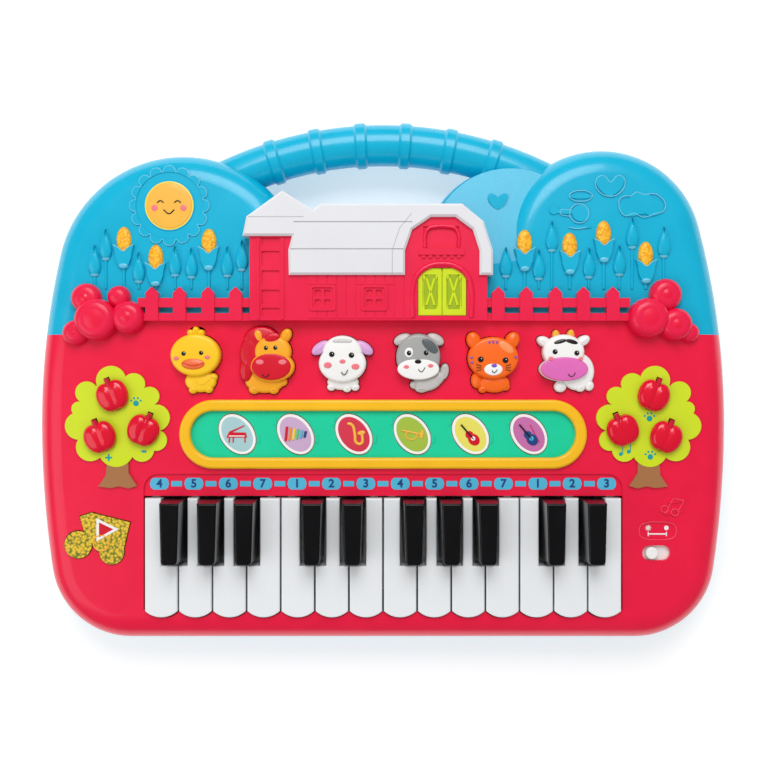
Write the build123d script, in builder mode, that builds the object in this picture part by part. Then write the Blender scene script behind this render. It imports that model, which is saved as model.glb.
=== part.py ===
from build123d import *
import math
import os

# Toy farm keyboard: a carry-handled, battery powered, 24-key keyboard for small children.
# Millimetres. The toy lies on its back: +Z is up through the playing face, +Y points to the
# carry handle and -Y to the player. The origin is on the table, under the middle of the toy.

os.makedirs("parts", exist_ok=True)

# ---------------------------------------------------------------- heights
BASE_Z = 2.0  # underside of the rear cover's floor, above the moulded feet
PARTING_Z = 22.0  # where rear and front covers meet
FACE_Z = 42.0  # main playing face
WALL = 2.2
CEILING_Z = FACE_Z - WALL
FLOOR_Z = BASE_Z + WALL
FLANK = 15.0  # rounded edge round the front covers
REAR_FLANK = 7.0

# ---------------------------------------------------------------- housing plan
HALF_WIDTH = 195.0
FRONT_Y = -147.5
WIDEST_Y = -25.0
CORNER_RADIUS = 46.0
LOWER_SIDE_RADIUS = 562.0
UPPER_SIDE_RADIUS = 434.0
GAP_Y = 92.0  # body's edge along the finger gap
LEFT_HILL = (-114.0, 54.7)
RIGHT_HILL = (124.5, 72.5)
LOW_HILL = (72.0, 71.0)
LOW_HILL_RADIUS = 48.5
SEAM_SIDE_Y = 24.5  # red and blue covers meet here at the sides
SEAM_MIDDLE_Y = 34.0  # and here behind the barn
SEAM_STEP_X = 155.0
LEFT_REAR_X = -66.0
SLOPE_LEFT_X = 47.0  # the low hill's face starts falling away here
SLOPE_START_Y = 62.0
SLOPE_END_Y = 130.0
SLOPE_FALL = 7.5
SLOPE_EDGE = 10.0

# ---------------------------------------------------------------- handle
HANDLE_CENTRE_Y = -73.29
HANDLE_BEND = 208.0
HANDLE_RADIUS = 11.7
HANDLE_REACH = 28.0  # degrees each side of the middle
RING_RADIUS = 13.0
RING_ANGLES = (-17.5, -10.5, -3.5, 3.5, 10.5, 17.5)
RING_SPAN = 2.0  # degrees

# ---------------------------------------------------------------- keys
PITCH = 19.0
WHITE_COUNT = 14
KEY_GAP = 0.9
KEY_BED_X = PITCH * WHITE_COUNT / 2
KEY_REAR_Y = -65.8
KEY_SHOULDER_Y = -129.6
KEY_TIP_Y = -133.1
KEY_TOP_Z = 45.0
KEY_SKIRT_Z = 34.0
KEY_WALL = 1.6
KEY_ROUND = 0.9
KEY_BACK_Y = KEY_REAR_Y - 1.0
BLACK_SKIRT_Z = 36.0
BLACK_ROUND = 1.0
BLACK_TOP_Z = 60.0
BLACK_TIP_Y = -102.7
BLACK_REAR_WIDTH = 13.0
BLACK_TIP_WIDTH = 11.2
BLACK_DRAFT = 1.26  # each side, foot to top
BLACK_CLEARANCE = 0.8
NOTCH_END_Y = BLACK_TIP_Y - 1.6
# Black keys stand beside white keys F G A and C D; each leans off the joint between whites.
BLACK_AFTER = {0: -2.2, 1: -0.8, 2: 0.2, 4: -1.0, 5: 2.2, 7: -2.2, 8: -0.8, 9: 0.2, 11: -1.0, 12: 2.2}
RAIL_Y = -48.0
RAIL_Z = 33.0
RAIL_RADIUS = 2.0
RAIL_HALF = 136.5
HOOK_BORE = RAIL_RADIUS + 0.06
HOOK_MOUTH = 3.2
ARM_BOTTOM_Z = 34.2
HOOK_RADIUS = 4.0
ARM_WIDTH = 4.2
ARM_TOP_Z = 37.0
RAIL_RIBS = (-KEY_BED_X - 1.6, -57.0, 0.0, 76.0, KEY_BED_X + 1.6)
RIB_WIDTH = 2.0
RIB_DEPTH = 9.0
RIB_BOTTOM_Z = 29.0
LINING_BOTTOM_Z = 29.0
LINING_X = KEY_BED_X + KEY_GAP + WALL
LINING_GAP = 1.0
WHITE_PLUNGER = (-115.0, 34.8)  # y and lowest z of the post that presses the dome
BLACK_PLUNGER = (-80.0, 33.0)
HEADER_Y = -53.4  # rear edge of the shallow number strip
HEADER_Z = 40.8
HEADER_CORNER = 8.5
FRONT_GAP = 1.0

# ---------------------------------------------------------------- instrument panel
PANEL_Y = -31.2
PANEL_LENGTH = 227.4
PANEL_RADIUS = 19.3
BEZEL_WIDTH = 6.3
BEZEL_TOP_Z = 45.0
PANEL_SEAT_Z = 40.8
OVERLAY_Z = 41.6
PAD_PITCH = 32.6
PAD_AXES = (12.3, 9.1)
PAD_TILT = 127.0
PAD_TOP_Z = 42.6
PAD_COUNT = 6

# ---------------------------------------------------------------- push buttons
BUTTON_GAP = 0.5
FLANGE_GROWTH = 1.7
FLANGE_TOP_Z = CEILING_Z - 0.2
FLANGE_BOTTOM_Z = FLANGE_TOP_Z - 1.6
DOME_TOP_Z = 30.8
DOME_GAP = 0.5
DOME_RADIUS = 3.5
STEM_RADIUS = 3.0
ANIMAL_TRAVEL = 2.0
APPLE_TRAVEL = 1.6
PAD_TRAVEL = 0.6
NOTE_TRAVEL = 1.5
ANIMAL_Y = 9.4
APPLE_TOP_Z = 49.0
APPLE_ROUND = 2.2
ANIMAL_ROUND = 1.4
STEM_TOP_Z = 46.5
# Ovals of each animal about its centre: x, y, half width, half depth, lean, top height.
HEAD, LIMB, BODY = 49.5, 48.0, 46.5
ANIMALS = {
    "duck": (-104.0, (
        (2.4, -11.0, 8.7, 6.2, 0, BODY), (-1.8, -15.8, 2.4, 2.2, 0, BODY), (6.9, -15.4, 2.4, 2.2, 0, BODY),
        (9.0, -8.8, 2.8, 2.4, 0, BODY), (0.0, 16.2, 4.6, 3.0, 0, LIMB), (0.0, 3.5, 13.8, 11.8, 0, HEAD),
    )),
    "horse": (-64.5, (
        (-1.3, -10.6, 11.2, 7.0, 0, BODY), (-7.2, -15.2, 3.2, 3.0, 0, BODY),
        (3.6, -15.4, 3.0, 2.8, 0, BODY), (8.2, -11.3, 3.0, 2.6, 0, BODY), (-3.2, 12.4, 9.8, 7.2, 0, LIMB),
        (-8.6, 4.6, 6.6, 10.0, 0, LIMB), (-11.6, -4.6, 3.8, 6.6, 0, LIMB), (-4.4, 14.0, 3.0, 4.0, 20, LIMB),
        (10.4, 14.2, 3.0, 4.4, -30, LIMB), (3.5, 5.4, 10.1, 9.0, 0, HEAD), (3.2, -2.9, 12.2, 8.6, 0, HEAD),
    )),
    "sheep": (-22.5, (
        (0.2, -11.4, 8.8, 4.6, 0, BODY), (-6.3, -14.2, 2.4, 2.2, 0, BODY), (2.4, -14.8, 2.6, 2.4, 0, BODY),
        (7.0, -14.2, 2.4, 2.2, 0, BODY), (-12.2, 7.6, 5.8, 3.1, 35, LIMB), (12.0, 7.6, 5.8, 3.1, -35, LIMB),
        (0.0, 5.0, 11.0, 9.4, 0, HEAD), (0.0, -1.2, 13.2, 10.6, 0, HEAD),
    )),
    "dog": (20.5, (
        (3.8, -11.8, 8.4, 4.8, 12, BODY), (9.4, -9.6, 5.0, 3.6, 40, BODY),
        (13.6, -5.6, 2.6, 4.6, -10, BODY), (-3.0, -13.0, 2.6, 2.4, 0, BODY),
        (1.0, -15.4, 3.6, 2.0, 0, BODY), (-9.6, 12.2, 5.2, 3.2, 20, LIMB), (8.5, 12.2, 5.2, 3.2, -25, LIMB),
        (-1.0, 2.5, 12.3, 13.0, 0, HEAD),
    )),
    "cat": (61.0, (
        (1.0, -12.0, 8.6, 5.4, 0, BODY), (-8.8, -10.4, 3.2, 4.6, 0, BODY), (-5.6, -15.4, 2.4, 2.2, 0, BODY),
        (7.2, -14.0, 2.6, 2.4, 0, BODY), (-10.6, 11.6, 3.9, 5.0, 20, LIMB),
        (10.8, 11.6, 3.9, 5.0, -20, LIMB), (0.0, 1.9, 14.0, 11.8, 0, HEAD),
    )),
    "cow": (101.8, (
        (6.4, -5.6, 9.4, 10.6, 0, BODY), (-3.1, -14.0, 3.4, 3.2, 0, BODY), (8.0, -14.4, 2.8, 2.6, 0, BODY),
        (13.0, -13.4, 2.6, 3.0, 0, BODY), (-5.6, 14.2, 2.0, 3.4, 6, LIMB), (2.4, 14.4, 2.0, 3.4, -6, LIMB),
        (-12.2, 11.0, 4.2, 2.8, -28, LIMB), (9.2, 11.4, 4.2, 2.8, 32, LIMB),
        (-1.8, 5.4, 11.5, 9.6, 0, HEAD), (-1.6, -4.2, 13.4, 7.0, 0, HEAD),
    )),
}
INSTRUMENTS = ("piano", "xylophone", "saxophone", "trumpet", "guitar", "violin")

# ---------------------------------------------------------------- trees
TREE_CENTRE = (148.0, -22.0)
TREE_TOP_Z = 43.4
# Crown lobes of the left tree about its centre: x, y, radius.
CROWN_LOBES = (
    (-3.8, 20.8, 8.3), (8.9, 18.7, 6.3), (17.8, 12.0, 5.4), (21.5, 0.0, 7.5), (21.5, -12.6, 5.9),
    (13.5, -17.9, 6.7), (-0.9, -17.4, 10.1), (-15.3, -16.3, 8.0), (-21.7, -4.5, 7.8),
    (-21.7, 5.0, 4.2), (-17.4, 14.1, 6.3), (0.0, 0.0, 21.5),
)
TRUNK = ((-6.1, -24.0), (-6.6, -32.0), (-10.9, -38.3), (-4.0, -39.2), (1.0, -38.2), (6.0, -39.4),
    (10.7, -38.0),
         (6.0, -31.0), (5.8, -24.0))
# Apples of the left tree about its centre: x, y, lean of the stem in degrees.
APPLES = ((-2.4, 12.3, 22.0), (-9.3, -10.7, 22.0), (14.5, -7.0, -22.0))
APPLE_RADIUS = 7.9
APPLE_CROWN = 7.4
STEM_LENGTH = 5.0  # half of it stands clear of the fruit
STEM_WIDTH = 2.4

# ---------------------------------------------------------------- note button and power switch
NOTE_LEFT_HEAD = (-170.3, -92.9, 7.6)
NOTE_RIGHT_HEAD = (-151.6, -97.0, 6.9)
NOTE_JOIN = (-157.4, -92.0, 4.8)
NOTE_FLAG = ((-169.4, -77.2), (-163.0, -75.0), (-141.4, -80.4), (-145.0, -96.0), (-153.0, -92.0), (-165.0, -92.0))
NOTE_TOP_Z = 42.8
NOTE_SINK = 1.0  # its flange hangs lower, clear of the rounded flank
SWITCH_CENTRE = (152.8, -97.6)
SWITCH_SLOT = (15.6, 8.4)
SWITCH_TRAVEL = 5.4
KNOB_RADIUS = 3.45
KNOB_TOP_Z = 43.6

SWITCH_LABEL_CENTRE = (153.4, -85.0)
SWITCH_LABEL = (20.7, 9.8)

# ---------------------------------------------------------------- barn, roof, fence and bushes
BARN_TOP_Z = 50.0
BARN_FOOT_Y = 32.0
BARN_LEFT_X = -73.6
BARN_RIGHT_X = 57.3
BARN_SHELL = 2.0
ROOF_TOP_Z = 53.0
FENCE_TOP_Z = 46.5
PICKET_TOP_Z = 47.5
FENCE_RAILS = ((44.6, 39.5), (36.2, BARN_FOOT_Y))
FENCE_SPAN_LEFT = (-136.0, BARN_LEFT_X + 1.0)
FENCE_SPAN_RIGHT = (BARN_RIGHT_X - 1.0, 137.0)
PICKETS_LEFT = (-128.2, -112.9, -97.1, -81.8)
PICKETS_RIGHT = (63.8, 79.4, 95.7, 111.1, 127.4)
PICKET_WIDTH = 7.0
PICKET_SHOULDER_Y = 47.4
PICKET_POINT_Y = 50.8
# Bushes: x, y, radius, top height.
BUSHES = (
    (-165.2, 44.6, 8.4, 49.0), (-147.2, 45.4, 6.3, 48.5), (-159.3, 32.7, 11.6, 52.0),
    (-141.8, 34.0, 9.2, 50.5), (-171.3, 25.4, 7.2, 48.5),
    (157.2, 46.6, 8.9, 49.5), (147.2, 33.6, 11.1, 52.0), (162.5, 30.0, 9.1, 50.5), (170.6, 25.5, 5.5, 48.0),
)
BUSH_ROUND = 4.6
GAMBREL = ((12.0, 56.9), (12.0, 70.2), (16.0, 81.8), (26.4, 88.8), (39.8, 88.8), (49.3, 81.8), (53.0, 70.2),
           (53.0, 56.9))
ROOF = ((-77.3, 78.3), (-75.1, 89.0), (-55.5, 103.2), (-38.7, 92.6), (-34.4, 96.0), (43.4, 96.0),
    (55.3, 86.2),
        (60.4, 70.2), (60.4, 56.9), (53.0, 56.9)) + tuple(reversed(GAMBREL[1:-1])) + (
        (12.0, 56.9), (-51.8, 56.9), (-52.1, 70.4), (-50.1, 78.3))
BARN_WALLS = ((BARN_LEFT_X, BARN_FOOT_Y), (BARN_RIGHT_X, BARN_FOOT_Y), (BARN_RIGHT_X, 56.9)) + tuple(
    reversed(GAMBREL)
) + ((-51.8, 56.9), (-52.1, 70.4), (-50.1, 78.3), (BARN_LEFT_X, 78.3))
BARN_HOLLOW = (-20.0, 45.0, 56.0, 20.0)  # centre and size
ROOF_HOLLOW = (-20.0, 76.0, 54.0, 26.0)
ROOF_RIDGES = ((-49.0, 16.0, 85.9), (-51.0, 11.0, 71.0))
RECESS = 1.2
PANE = 3.6
WINDOW = 14.4
SILO_RAIL_TOP = 78.0
WINDOWS = ((-33.3, 44.4), (-4.9, 44.4))
HATCH_CENTRE = (32.0, 77.9)
HATCH_SIZE = (19.8, 11.9)
SILO_PANELS = [(-62.0, 44.9 + 10.7 * step) for step in range(3)]
SILO_PANEL = (10.0, 8.0)
SILO_HALF_PANELS = ((-62.0, 36.6), (-62.0, 75.4))
SILO_HALF_PANEL = (10.0, 4.6)
DOOR_SIZE = (26.4, 26.0)
DOOR_CENTRE = (32.6, 47.8)
DOOR_ROUND = 7.0
DOOR_PANEL = (8.6, 19.0)
BRACE_LEAN = 22.0
DOOR_TOP_Z = 49.0
DOOR_FLOOR_Z = 44.0

# ---------------------------------------------------------------- raised pictures
EMBOSS = 0.8
EMBOSS_FOOT_Z = 40.0
SUN = (-119.4, 96.5)
SUN_DISC = 14.0
SUN_RING = 18.2
SUN_LOBE = 3.9
SUN_LOBES = 16
COBS = ((-144.8, 76.7), (-127.0, 66.7), (-97.3, 75.6), (79.1, 75.1), (104.3, 73.4), (123.3, 80.1),
    (146.8, 68.4))
BUDS = (
    (-161.1, 65.6), (-154.9, 74.5), (-136.5, 61.7), (-116.2, 65.3), (-107.1, 64.2), (-87.0, 65.0),
    (-78.9, 68.4),
    (68.6, 64.7), (87.0, 63.3), (94.3, 79.2), (115.0, 64.2), (132.0, 65.6), (139.2, 80.9), (156.8, 75.9),
)
CLOUD = ((138.5, 95.5, 6.5, 5.0, 0), (144.0, 98.0, 7.0, 6.3, 0), (150.5, 95.5, 6.0, 4.6, 0))
HELICOPTER = (
    (110.5, 92.4, 4.8, 4.6, 0), (95.4, 94.0, 2.5, 2.4, 0), (102.0, 93.2, 6.0, 1.3, 0),
    (110.5, 101.8, 6.2, 1.4, 0),
    (110.5, 84.6, 6.0, 0.9, 0),
)
BIG_HEART = ((124.1, 108.0, 3.9, 7.2, 38), (129.3, 108.0, 3.9, 7.2, -38))
SLOPE_OVALS = ((62.9, 99.6, 2.8, 5.2, 38), (66.5, 99.6, 2.8, 5.2, -38))
SLOPE_OVAL_Z = 38.0
SKY_OVALS = [(x, y, 3.4, 6.6, 0) for x, y in COBS] + [(x, y - 1.0, 3.0, 5.6, 0) for x, y in BUDS]
FACE_OVALS = ((159.0, -74.6, 2.4, 1.8, 20), (166.0, -73.4, 2.4, 1.8, 20), (164.0, -68.6, 4.6, 1.0, 10))

# ---------------------------------------------------------------- rear cover
BAY_CENTRE = (0.0, 48.0)
BAY_SIZE = (62.0, 48.0)
BAY_TOP_Z = 20.0
BAY_WALL = 2.0
LEDGE_TOP_Z = FLOOR_Z + 2.0
DOOR_THICK = 2.0
SOUND_HOLE = 1.5
DOOR_PLATE = (70.0, 54.0)
DOOR_PLAY = 0.3
SPEAKER_CENTRE = (-104.0, 52.0)
SPEAKER_RADIUS = 25.0
FEET = ((-140.0, -112.0), (140.0, -112.0), (-140.0, 84.0), (140.0, 84.0))
FOOT_RADIUS = 9.0
SCREW_POINTS_FRONT = ((-158.0, -125.0), (158.0, -125.0), (-170.0, 17.5), (170.0, 17.5))
SCREW_POINTS_SKY = ((-152.0, 86.0), (150.0, 88.0), (-58.0, 82.0), (40.0, 84.0))
BOSS_RADIUS = 4.2
BOSS_MEET_Z = 20.0
SCREW_SEAT_Z = 14.0
SCREW_RADIUS = 1.5
SCREW_HEAD = (3.0, 2.2)
SCREW_TIP_Z = 30.0
BOARD_Z = 24.0
BOARD_THICK = 1.6
PAD_SHEET = 1.2
BOARD_POSTS = ((-130.0, -112.0), (130.0, -112.0), (-45.0, -112.0), (45.0, -112.0),
               (-150.0, 10.0), (150.0, 10.0), (-60.0, 8.0), (60.0, 8.0))
# Half plan of the board and its rubber sheet, right side; the left is its mirror image.
BOARD_HALF = ((137.0, -124.0), (137.0, -100.0), (172.0, -100.0), (172.0, -60.0), (163.0, -60.0),
    (163.0, 20.0))
BOARD = BOARD_HALF + tuple((-x, y) for x, y in reversed(BOARD_HALF))
SHEET_HALF = ((135.0, -121.0), (135.0, -98.0), (140.0, -98.0), (140.0, -60.0), (162.0, -60.0), (162.0, 16.0))
PAD_SHEET_PLAN = SHEET_HALF + ((-162.0, 16.0), (-162.0, -60.0), (-171.0, -60.0), (-171.0, -98.0)) + (
    (-135.0, -98.0), (-135.0, -121.0))
CHIPS = ((-40.0, -30.0), (30.0, -30.0), (90.0, -20.0))
SPEAKER_PROFILE = ((0, 0.6), (8, 0.6), (22, 0.0), (SPEAKER_RADIUS, 0.0), (SPEAKER_RADIUS, 2.0), (12, 9.0),
                   (12, 14.0), (0, 14.0))
CELL_PITCH = 15.2
CONTACT_THICK = 0.5
CONTACT_WIDTH = 9.0
CONTACT_HEIGHT = 9.0
CONTACT_Z = 10.0
COIL_RADIUS = 3.6
COIL_WIRE = 0.45
COIL_RISE = 0.8
COIL_TAPER = 0.25


def save(part, label):
    """Names a finished sub-part and writes it."""
    part.label = label
    export_step(part, f"parts/{label}.step")


# ================================================================ shared shapes
def on_circle(centre, radius, degrees):
    """The point of a circle at an angle."""
    return (
        centre[0] + radius * math.cos(math.radians(degrees)),
        centre[1] + radius * math.sin(math.radians(degrees)),
    )


def prism(plan, low, high):
    """A plan shape made solid between two heights."""
    with BuildPart() as block:
        with BuildSketch(Plane.XY.offset(low)):
            add(plan)
        extrude(amount=high - low)
    return block.part


def polygon(points):
    """A closed plan outline of straight sides."""
    with BuildSketch() as plan:
        with BuildLine():
            Polyline(*points, close=True)
        make_face()
    return plan.sketch


def box_plan(left, right, front, rear):
    """A rectangular plan given by its four sides."""
    return polygon(((left, front), (right, front), (right, rear), (left, rear)))


def disc(x, y, radius):
    """A round plan."""
    with BuildSketch() as plan:
        with Locations((x, y)):
            Circle(radius)
    return plan.sketch


def ovals(shapes, grow=0.0):
    """Ovals joined into one plan. Each is x, y, half width, half depth, lean; all may be grown."""
    with BuildSketch() as plan:
        for x, y, half_width, half_depth, lean in shapes:
            with Locations((x, y)):
                Ellipse(half_width + grow, half_depth + grow, rotation=lean)
    return plan.sketch


def pebble(x, y, half_width, half_depth, lean, low, high, edge):
    """An oval block with a rounded top edge; a narrow oval takes a smaller rounding."""
    tightest = min(half_width, half_depth) ** 2 / max(half_width, half_depth)
    with BuildPart() as block:
        with BuildSketch(Plane.XY.offset(low)):
            with Locations((x, y)):
                Ellipse(half_width, half_depth, rotation=lean)
        extrude(amount=high - low)
        fillet(block.edges().group_by(Axis.Z)[-1], min(edge, 0.8 * tightest))
    return block.part


# ================================================================ housing
UPPER_CENTRE_X = HALF_WIDTH - UPPER_SIDE_RADIUS
LOWER_CENTRE_X = HALF_WIDTH - LOWER_SIDE_RADIUS
CORNER_Y = FRONT_Y + CORNER_RADIUS
CORNER_X = LOWER_CENTRE_X + math.sqrt(
    (LOWER_SIDE_RADIUS - CORNER_RADIUS) ** 2 - (CORNER_Y - WIDEST_Y) ** 2
)
CORNER_ANGLE = math.degrees(math.atan2(CORNER_Y - WIDEST_Y, CORNER_X - LOWER_CENTRE_X))


def hill_radius(hill):
    """Radius that makes a hill run smoothly into the upper side curve."""
    return UPPER_SIDE_RADIUS - math.hypot(abs(hill[0]) - UPPER_CENTRE_X, hill[1] - WIDEST_Y)


def hill_angle(hill):
    """Angle, seen from the upper side curve's centre, at which a hill takes over."""
    return math.degrees(math.atan2(hill[1] - WIDEST_Y, abs(hill[0]) - UPPER_CENTRE_X))


def core_plan(inset):
    """Plan of the housing without its hills; the sides end square at the hill centres."""
    right = hill_angle(RIGHT_HILL)
    left = hill_angle(LEFT_HILL)
    upper = UPPER_SIDE_RADIUS - inset
    lower = LOWER_SIDE_RADIUS - inset
    corner = CORNER_RADIUS - inset
    right_top = on_circle((UPPER_CENTRE_X, WIDEST_Y), upper, right)
    left_top = on_circle((-UPPER_CENTRE_X, WIDEST_Y), upper, 180 - left)
    rear = GAP_Y - inset
    with BuildSketch() as plan:
        with BuildLine():
            Line((-CORNER_X, FRONT_Y + inset), (CORNER_X, FRONT_Y + inset))
            CenterArc((CORNER_X, CORNER_Y), corner, -90, 90 + CORNER_ANGLE)
            CenterArc((LOWER_CENTRE_X, WIDEST_Y), lower, CORNER_ANGLE, -CORNER_ANGLE)
            CenterArc((UPPER_CENTRE_X, WIDEST_Y), upper, 0, right)
            Polyline(
                right_top, RIGHT_HILL, (SLOPE_LEFT_X, SLOPE_START_Y), (SLOPE_LEFT_X, rear),
                (LEFT_REAR_X, rear), LEFT_HILL, left_top,
            )
            CenterArc((-UPPER_CENTRE_X, WIDEST_Y), upper, 180 - left, left)
            CenterArc((-LOWER_CENTRE_X, WIDEST_Y), lower, 180, -CORNER_ANGLE)
            CenterArc((-CORNER_X, CORNER_Y), corner, 180 - CORNER_ANGLE, 90 + CORNER_ANGLE)
        make_face()
    return plan.sketch


def hill(centre, radius, near, far, edge):
    """A round hill between two heights, its far edge rounded."""
    with BuildPart() as block:
        with Locations((centre[0], centre[1], (near + far) / 2)):
            Cylinder(radius, abs(far - near))
        rim = block.edges().filter_by(GeomType.CIRCLE).sort_by(Axis.Z)
        fillet(rim[-1] if far > near else rim[0], edge)
    return block.part


def housing(inset, far, edge):
    """Everything between the parting plane and a far face, with the far edge rounded."""
    with BuildPart() as block:
        with BuildSketch(Plane.XY.offset(PARTING_Z)):
            add(core_plan(inset))
        extrude(amount=far - PARTING_Z)
        # The front, the corners and the curved sides are rounded; the ends meet the hills square.
        level = block.faces().filter_by(Plane.XY).sort_by(Axis.Z)
        far_face = level[-1] if far > PARTING_Z else level[0]
        outside = [
            side for side in far_face.outer_wire().edges()
            if side.geom_type == GeomType.CIRCLE or side.center().Y < CORNER_Y
        ]
        fillet(outside, edge)
        add(hill(LEFT_HILL, hill_radius(LEFT_HILL) - inset, PARTING_Z, far, edge))
        add(hill(RIGHT_HILL, hill_radius(RIGHT_HILL) - inset, PARTING_Z, far, edge))
    return block.part


def low_hill(inset, far, edge):
    """The small hill beside the barn: its face falls away from the main face."""
    with BuildPart() as block:
        add(hill(LOW_HILL, LOW_HILL_RADIUS - inset, PARTING_Z, far, edge))
        if far > PARTING_Z:
            with BuildSketch(Plane.YZ.offset(SLOPE_LEFT_X - LOW_HILL_RADIUS)):
                with BuildLine():
                    Polyline(
                        (SLOPE_START_Y, far), (SLOPE_END_Y, far - SLOPE_FALL), (SLOPE_END_Y, far + 1),
                        (SLOPE_START_Y, far + 1), close=True,
                    )
                make_face()
            extrude(amount=4 * LOW_HILL_RADIUS, mode=Mode.SUBTRACT)
    return block.part


def handle_bar(radius, reach):
    """The bent bar of the handle, as a solid."""
    with BuildPart() as bar:
        with BuildSketch(Plane.XZ.offset(-HANDLE_CENTRE_Y)):
            with Locations((HANDLE_BEND, PARTING_Z)):
                Circle(radius)
        revolve(axis=Axis((0, HANDLE_CENTRE_Y, 0), (0, 0, 1)), revolution_arc=2 * reach)
    turn = Axis((0, HANDLE_CENTRE_Y, 0), (0, 0, 1))
    return bar.part.rotate(turn, 90 - reach)


def grip_rings():
    """Raised rings round the handle."""
    turn = Axis((0, HANDLE_CENTRE_Y, 0), (0, 0, 1))
    with BuildPart() as bulge:
        add(handle_bar(RING_RADIUS, RING_SPAN / 2))
        chamfer(bulge.edges().filter_by(GeomType.CIRCLE), RING_RADIUS - HANDLE_RADIUS)
    ring = bulge.part
    return [ring.rotate(turn, angle) for angle in RING_ANGLES]


def seam_plan():
    """Everything behind the seam between the playing face and the sky."""
    wide = HALF_WIDTH + WALL
    return polygon(
        (
            (-wide, SEAM_SIDE_Y), (-SEAM_STEP_X, SEAM_SIDE_Y), (-SEAM_STEP_X, SEAM_MIDDLE_Y),
            (SEAM_STEP_X, SEAM_MIDDLE_Y), (SEAM_STEP_X, SEAM_SIDE_Y), (wide, SEAM_SIDE_Y),
            (wide, wide), (-wide, wide),
        )
    )


upper_solid = housing(0, FACE_Z, FLANK)
upper_hollow = housing(WALL, CEILING_Z, FLANK - WALL)
slope_solid = low_hill(0, FACE_Z, SLOPE_EDGE)
slope_hollow = low_hill(WALL, CEILING_Z, SLOPE_EDGE - WALL)
bar_solid = handle_bar(HANDLE_RADIUS, HANDLE_REACH)
bar_hollow = handle_bar(HANDLE_RADIUS - WALL, HANDLE_REACH + 1)
above_parting = prism(box_plan(-250, 250, -250, 250), PARTING_Z, 2 * PARTING_Z + HANDLE_RADIUS)
sky_zone = prism(seam_plan(), PARTING_Z - 3, FACE_Z + 5)


def boss_tubes(points, low, high, bore, bore_top):
    """Round posts with a screw bore from below."""
    with BuildPart() as posts:
        with BuildSketch(Plane.XY.offset(low)):
            with Locations(*points):
                Circle(BOSS_RADIUS)
        extrude(amount=high - low)
        with BuildSketch(Plane.XY.offset(low)):
            with Locations(*points):
                Circle(bore)
        extrude(amount=bore_top - low, mode=Mode.SUBTRACT)
    return posts.part


# ================================================================ what sits in the playing face
def white_left(index):
    """Left edge of a white key's slot."""
    return -KEY_BED_X + PITCH * index


def notch_sides(index):
    """How far the neighbouring black keys reach into a white key: left and right."""
    reach = BLACK_REAR_WIDTH / 2 + BLACK_CLEARANCE
    left = KEY_GAP / 2
    right = KEY_GAP / 2
    if index - 1 in BLACK_AFTER:
        left = BLACK_AFTER[index - 1] + reach
    if index in BLACK_AFTER:
        right = reach - BLACK_AFTER[index]
    return left, right


def tongue_centre(index):
    """Middle of the narrow rear part of a white key."""
    left, right = notch_sides(index)
    return white_left(index) + (left + PITCH - right) / 2


def black_centre(index):
    """Middle of the black key that follows a white key."""
    return white_left(index + 1) + BLACK_AFTER[index]


def animal(name):
    """Ovals of an animal: x, y, half width, half depth, lean, top height."""
    centre, shapes = ANIMALS[name]
    return [(centre + x, ANIMAL_Y + y, a, b, lean, top) for x, y, a, b, lean, top in shapes]


def flat(shapes):
    """The same ovals without their heights."""
    return [shape[:5] for shape in shapes]


def apple_places():
    """Centre and stem lean of the six apples, left tree first."""
    places = []
    for side in (-1, 1):
        for x, y, lean in APPLES:
            places.append((side * (TREE_CENTRE[0] - x), TREE_CENTRE[1] + y, lean * -side))
    return places


def apple_plan(place, grow=0.0):
    """Apple with its stem."""
    x, y, lean = place
    stem = on_circle((x, y), APPLE_RADIUS, 90 + lean)
    with BuildSketch() as plan:
        with Locations((x, y)):
            Circle(APPLE_RADIUS + grow)
        with Locations(stem):
            Rectangle(STEM_WIDTH + 2 * grow, STEM_LENGTH + 2 * grow, rotation=lean)
    return plan.sketch


def pad_place(index):
    """Centre of an instrument pad."""
    return ((index - (PAD_COUNT - 1) / 2) * PAD_PITCH, PANEL_Y)


def pad_plan(index, grow=0.0):
    """Leaning oval of an instrument pad."""
    x, y = pad_place(index)
    return ovals(((x, y, PAD_AXES[0], PAD_AXES[1], PAD_TILT),), grow)


def note_plan(grow=0.0):
    """Two note heads under a broad flag."""
    with BuildSketch() as plan:
        add(polygon(NOTE_FLAG))
        for x, y, radius in (NOTE_LEFT_HEAD, NOTE_RIGHT_HEAD, NOTE_JOIN):
            with Locations((x, y)):
                Circle(radius)
        if grow:
            offset(amount=grow, kind=Kind.INTERSECTION)
    return plan.sketch


def stadium(grow=0.0):
    """Long rounded outline of the instrument panel."""
    with BuildSketch() as plan:
        with Locations((0, PANEL_Y)):
            SlotOverall(PANEL_LENGTH + 2 * grow, 2 * (PANEL_RADIUS + grow))
    return plan.sketch


def key_opening():
    """Opening for the keys; its front edge follows the rounded key ends."""
    with BuildSketch() as plan:
        add(box_plan(-KEY_BED_X - KEY_GAP, KEY_BED_X + KEY_GAP, KEY_SHOULDER_Y, KEY_REAR_Y))
        for index in range(WHITE_COUNT):
            add(key_tip(index, FRONT_GAP))
    return plan.sketch


def key_tip(index, grow=0.0):
    """Rounded end of a white key."""
    left = white_left(index) + KEY_GAP / 2 - grow
    right = white_left(index + 1) - KEY_GAP / 2 + grow
    with BuildSketch() as plan:
        with BuildLine():
            Polyline((left, KEY_SHOULDER_Y), (left, KEY_SHOULDER_Y + 1), (right, KEY_SHOULDER_Y + 1),
                     (right, KEY_SHOULDER_Y))
            ThreePointArc(
                (right, KEY_SHOULDER_Y), ((left + right) / 2, KEY_TIP_Y - grow), (left, KEY_SHOULDER_Y)
            )
        make_face()
    return plan.sketch


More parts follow.
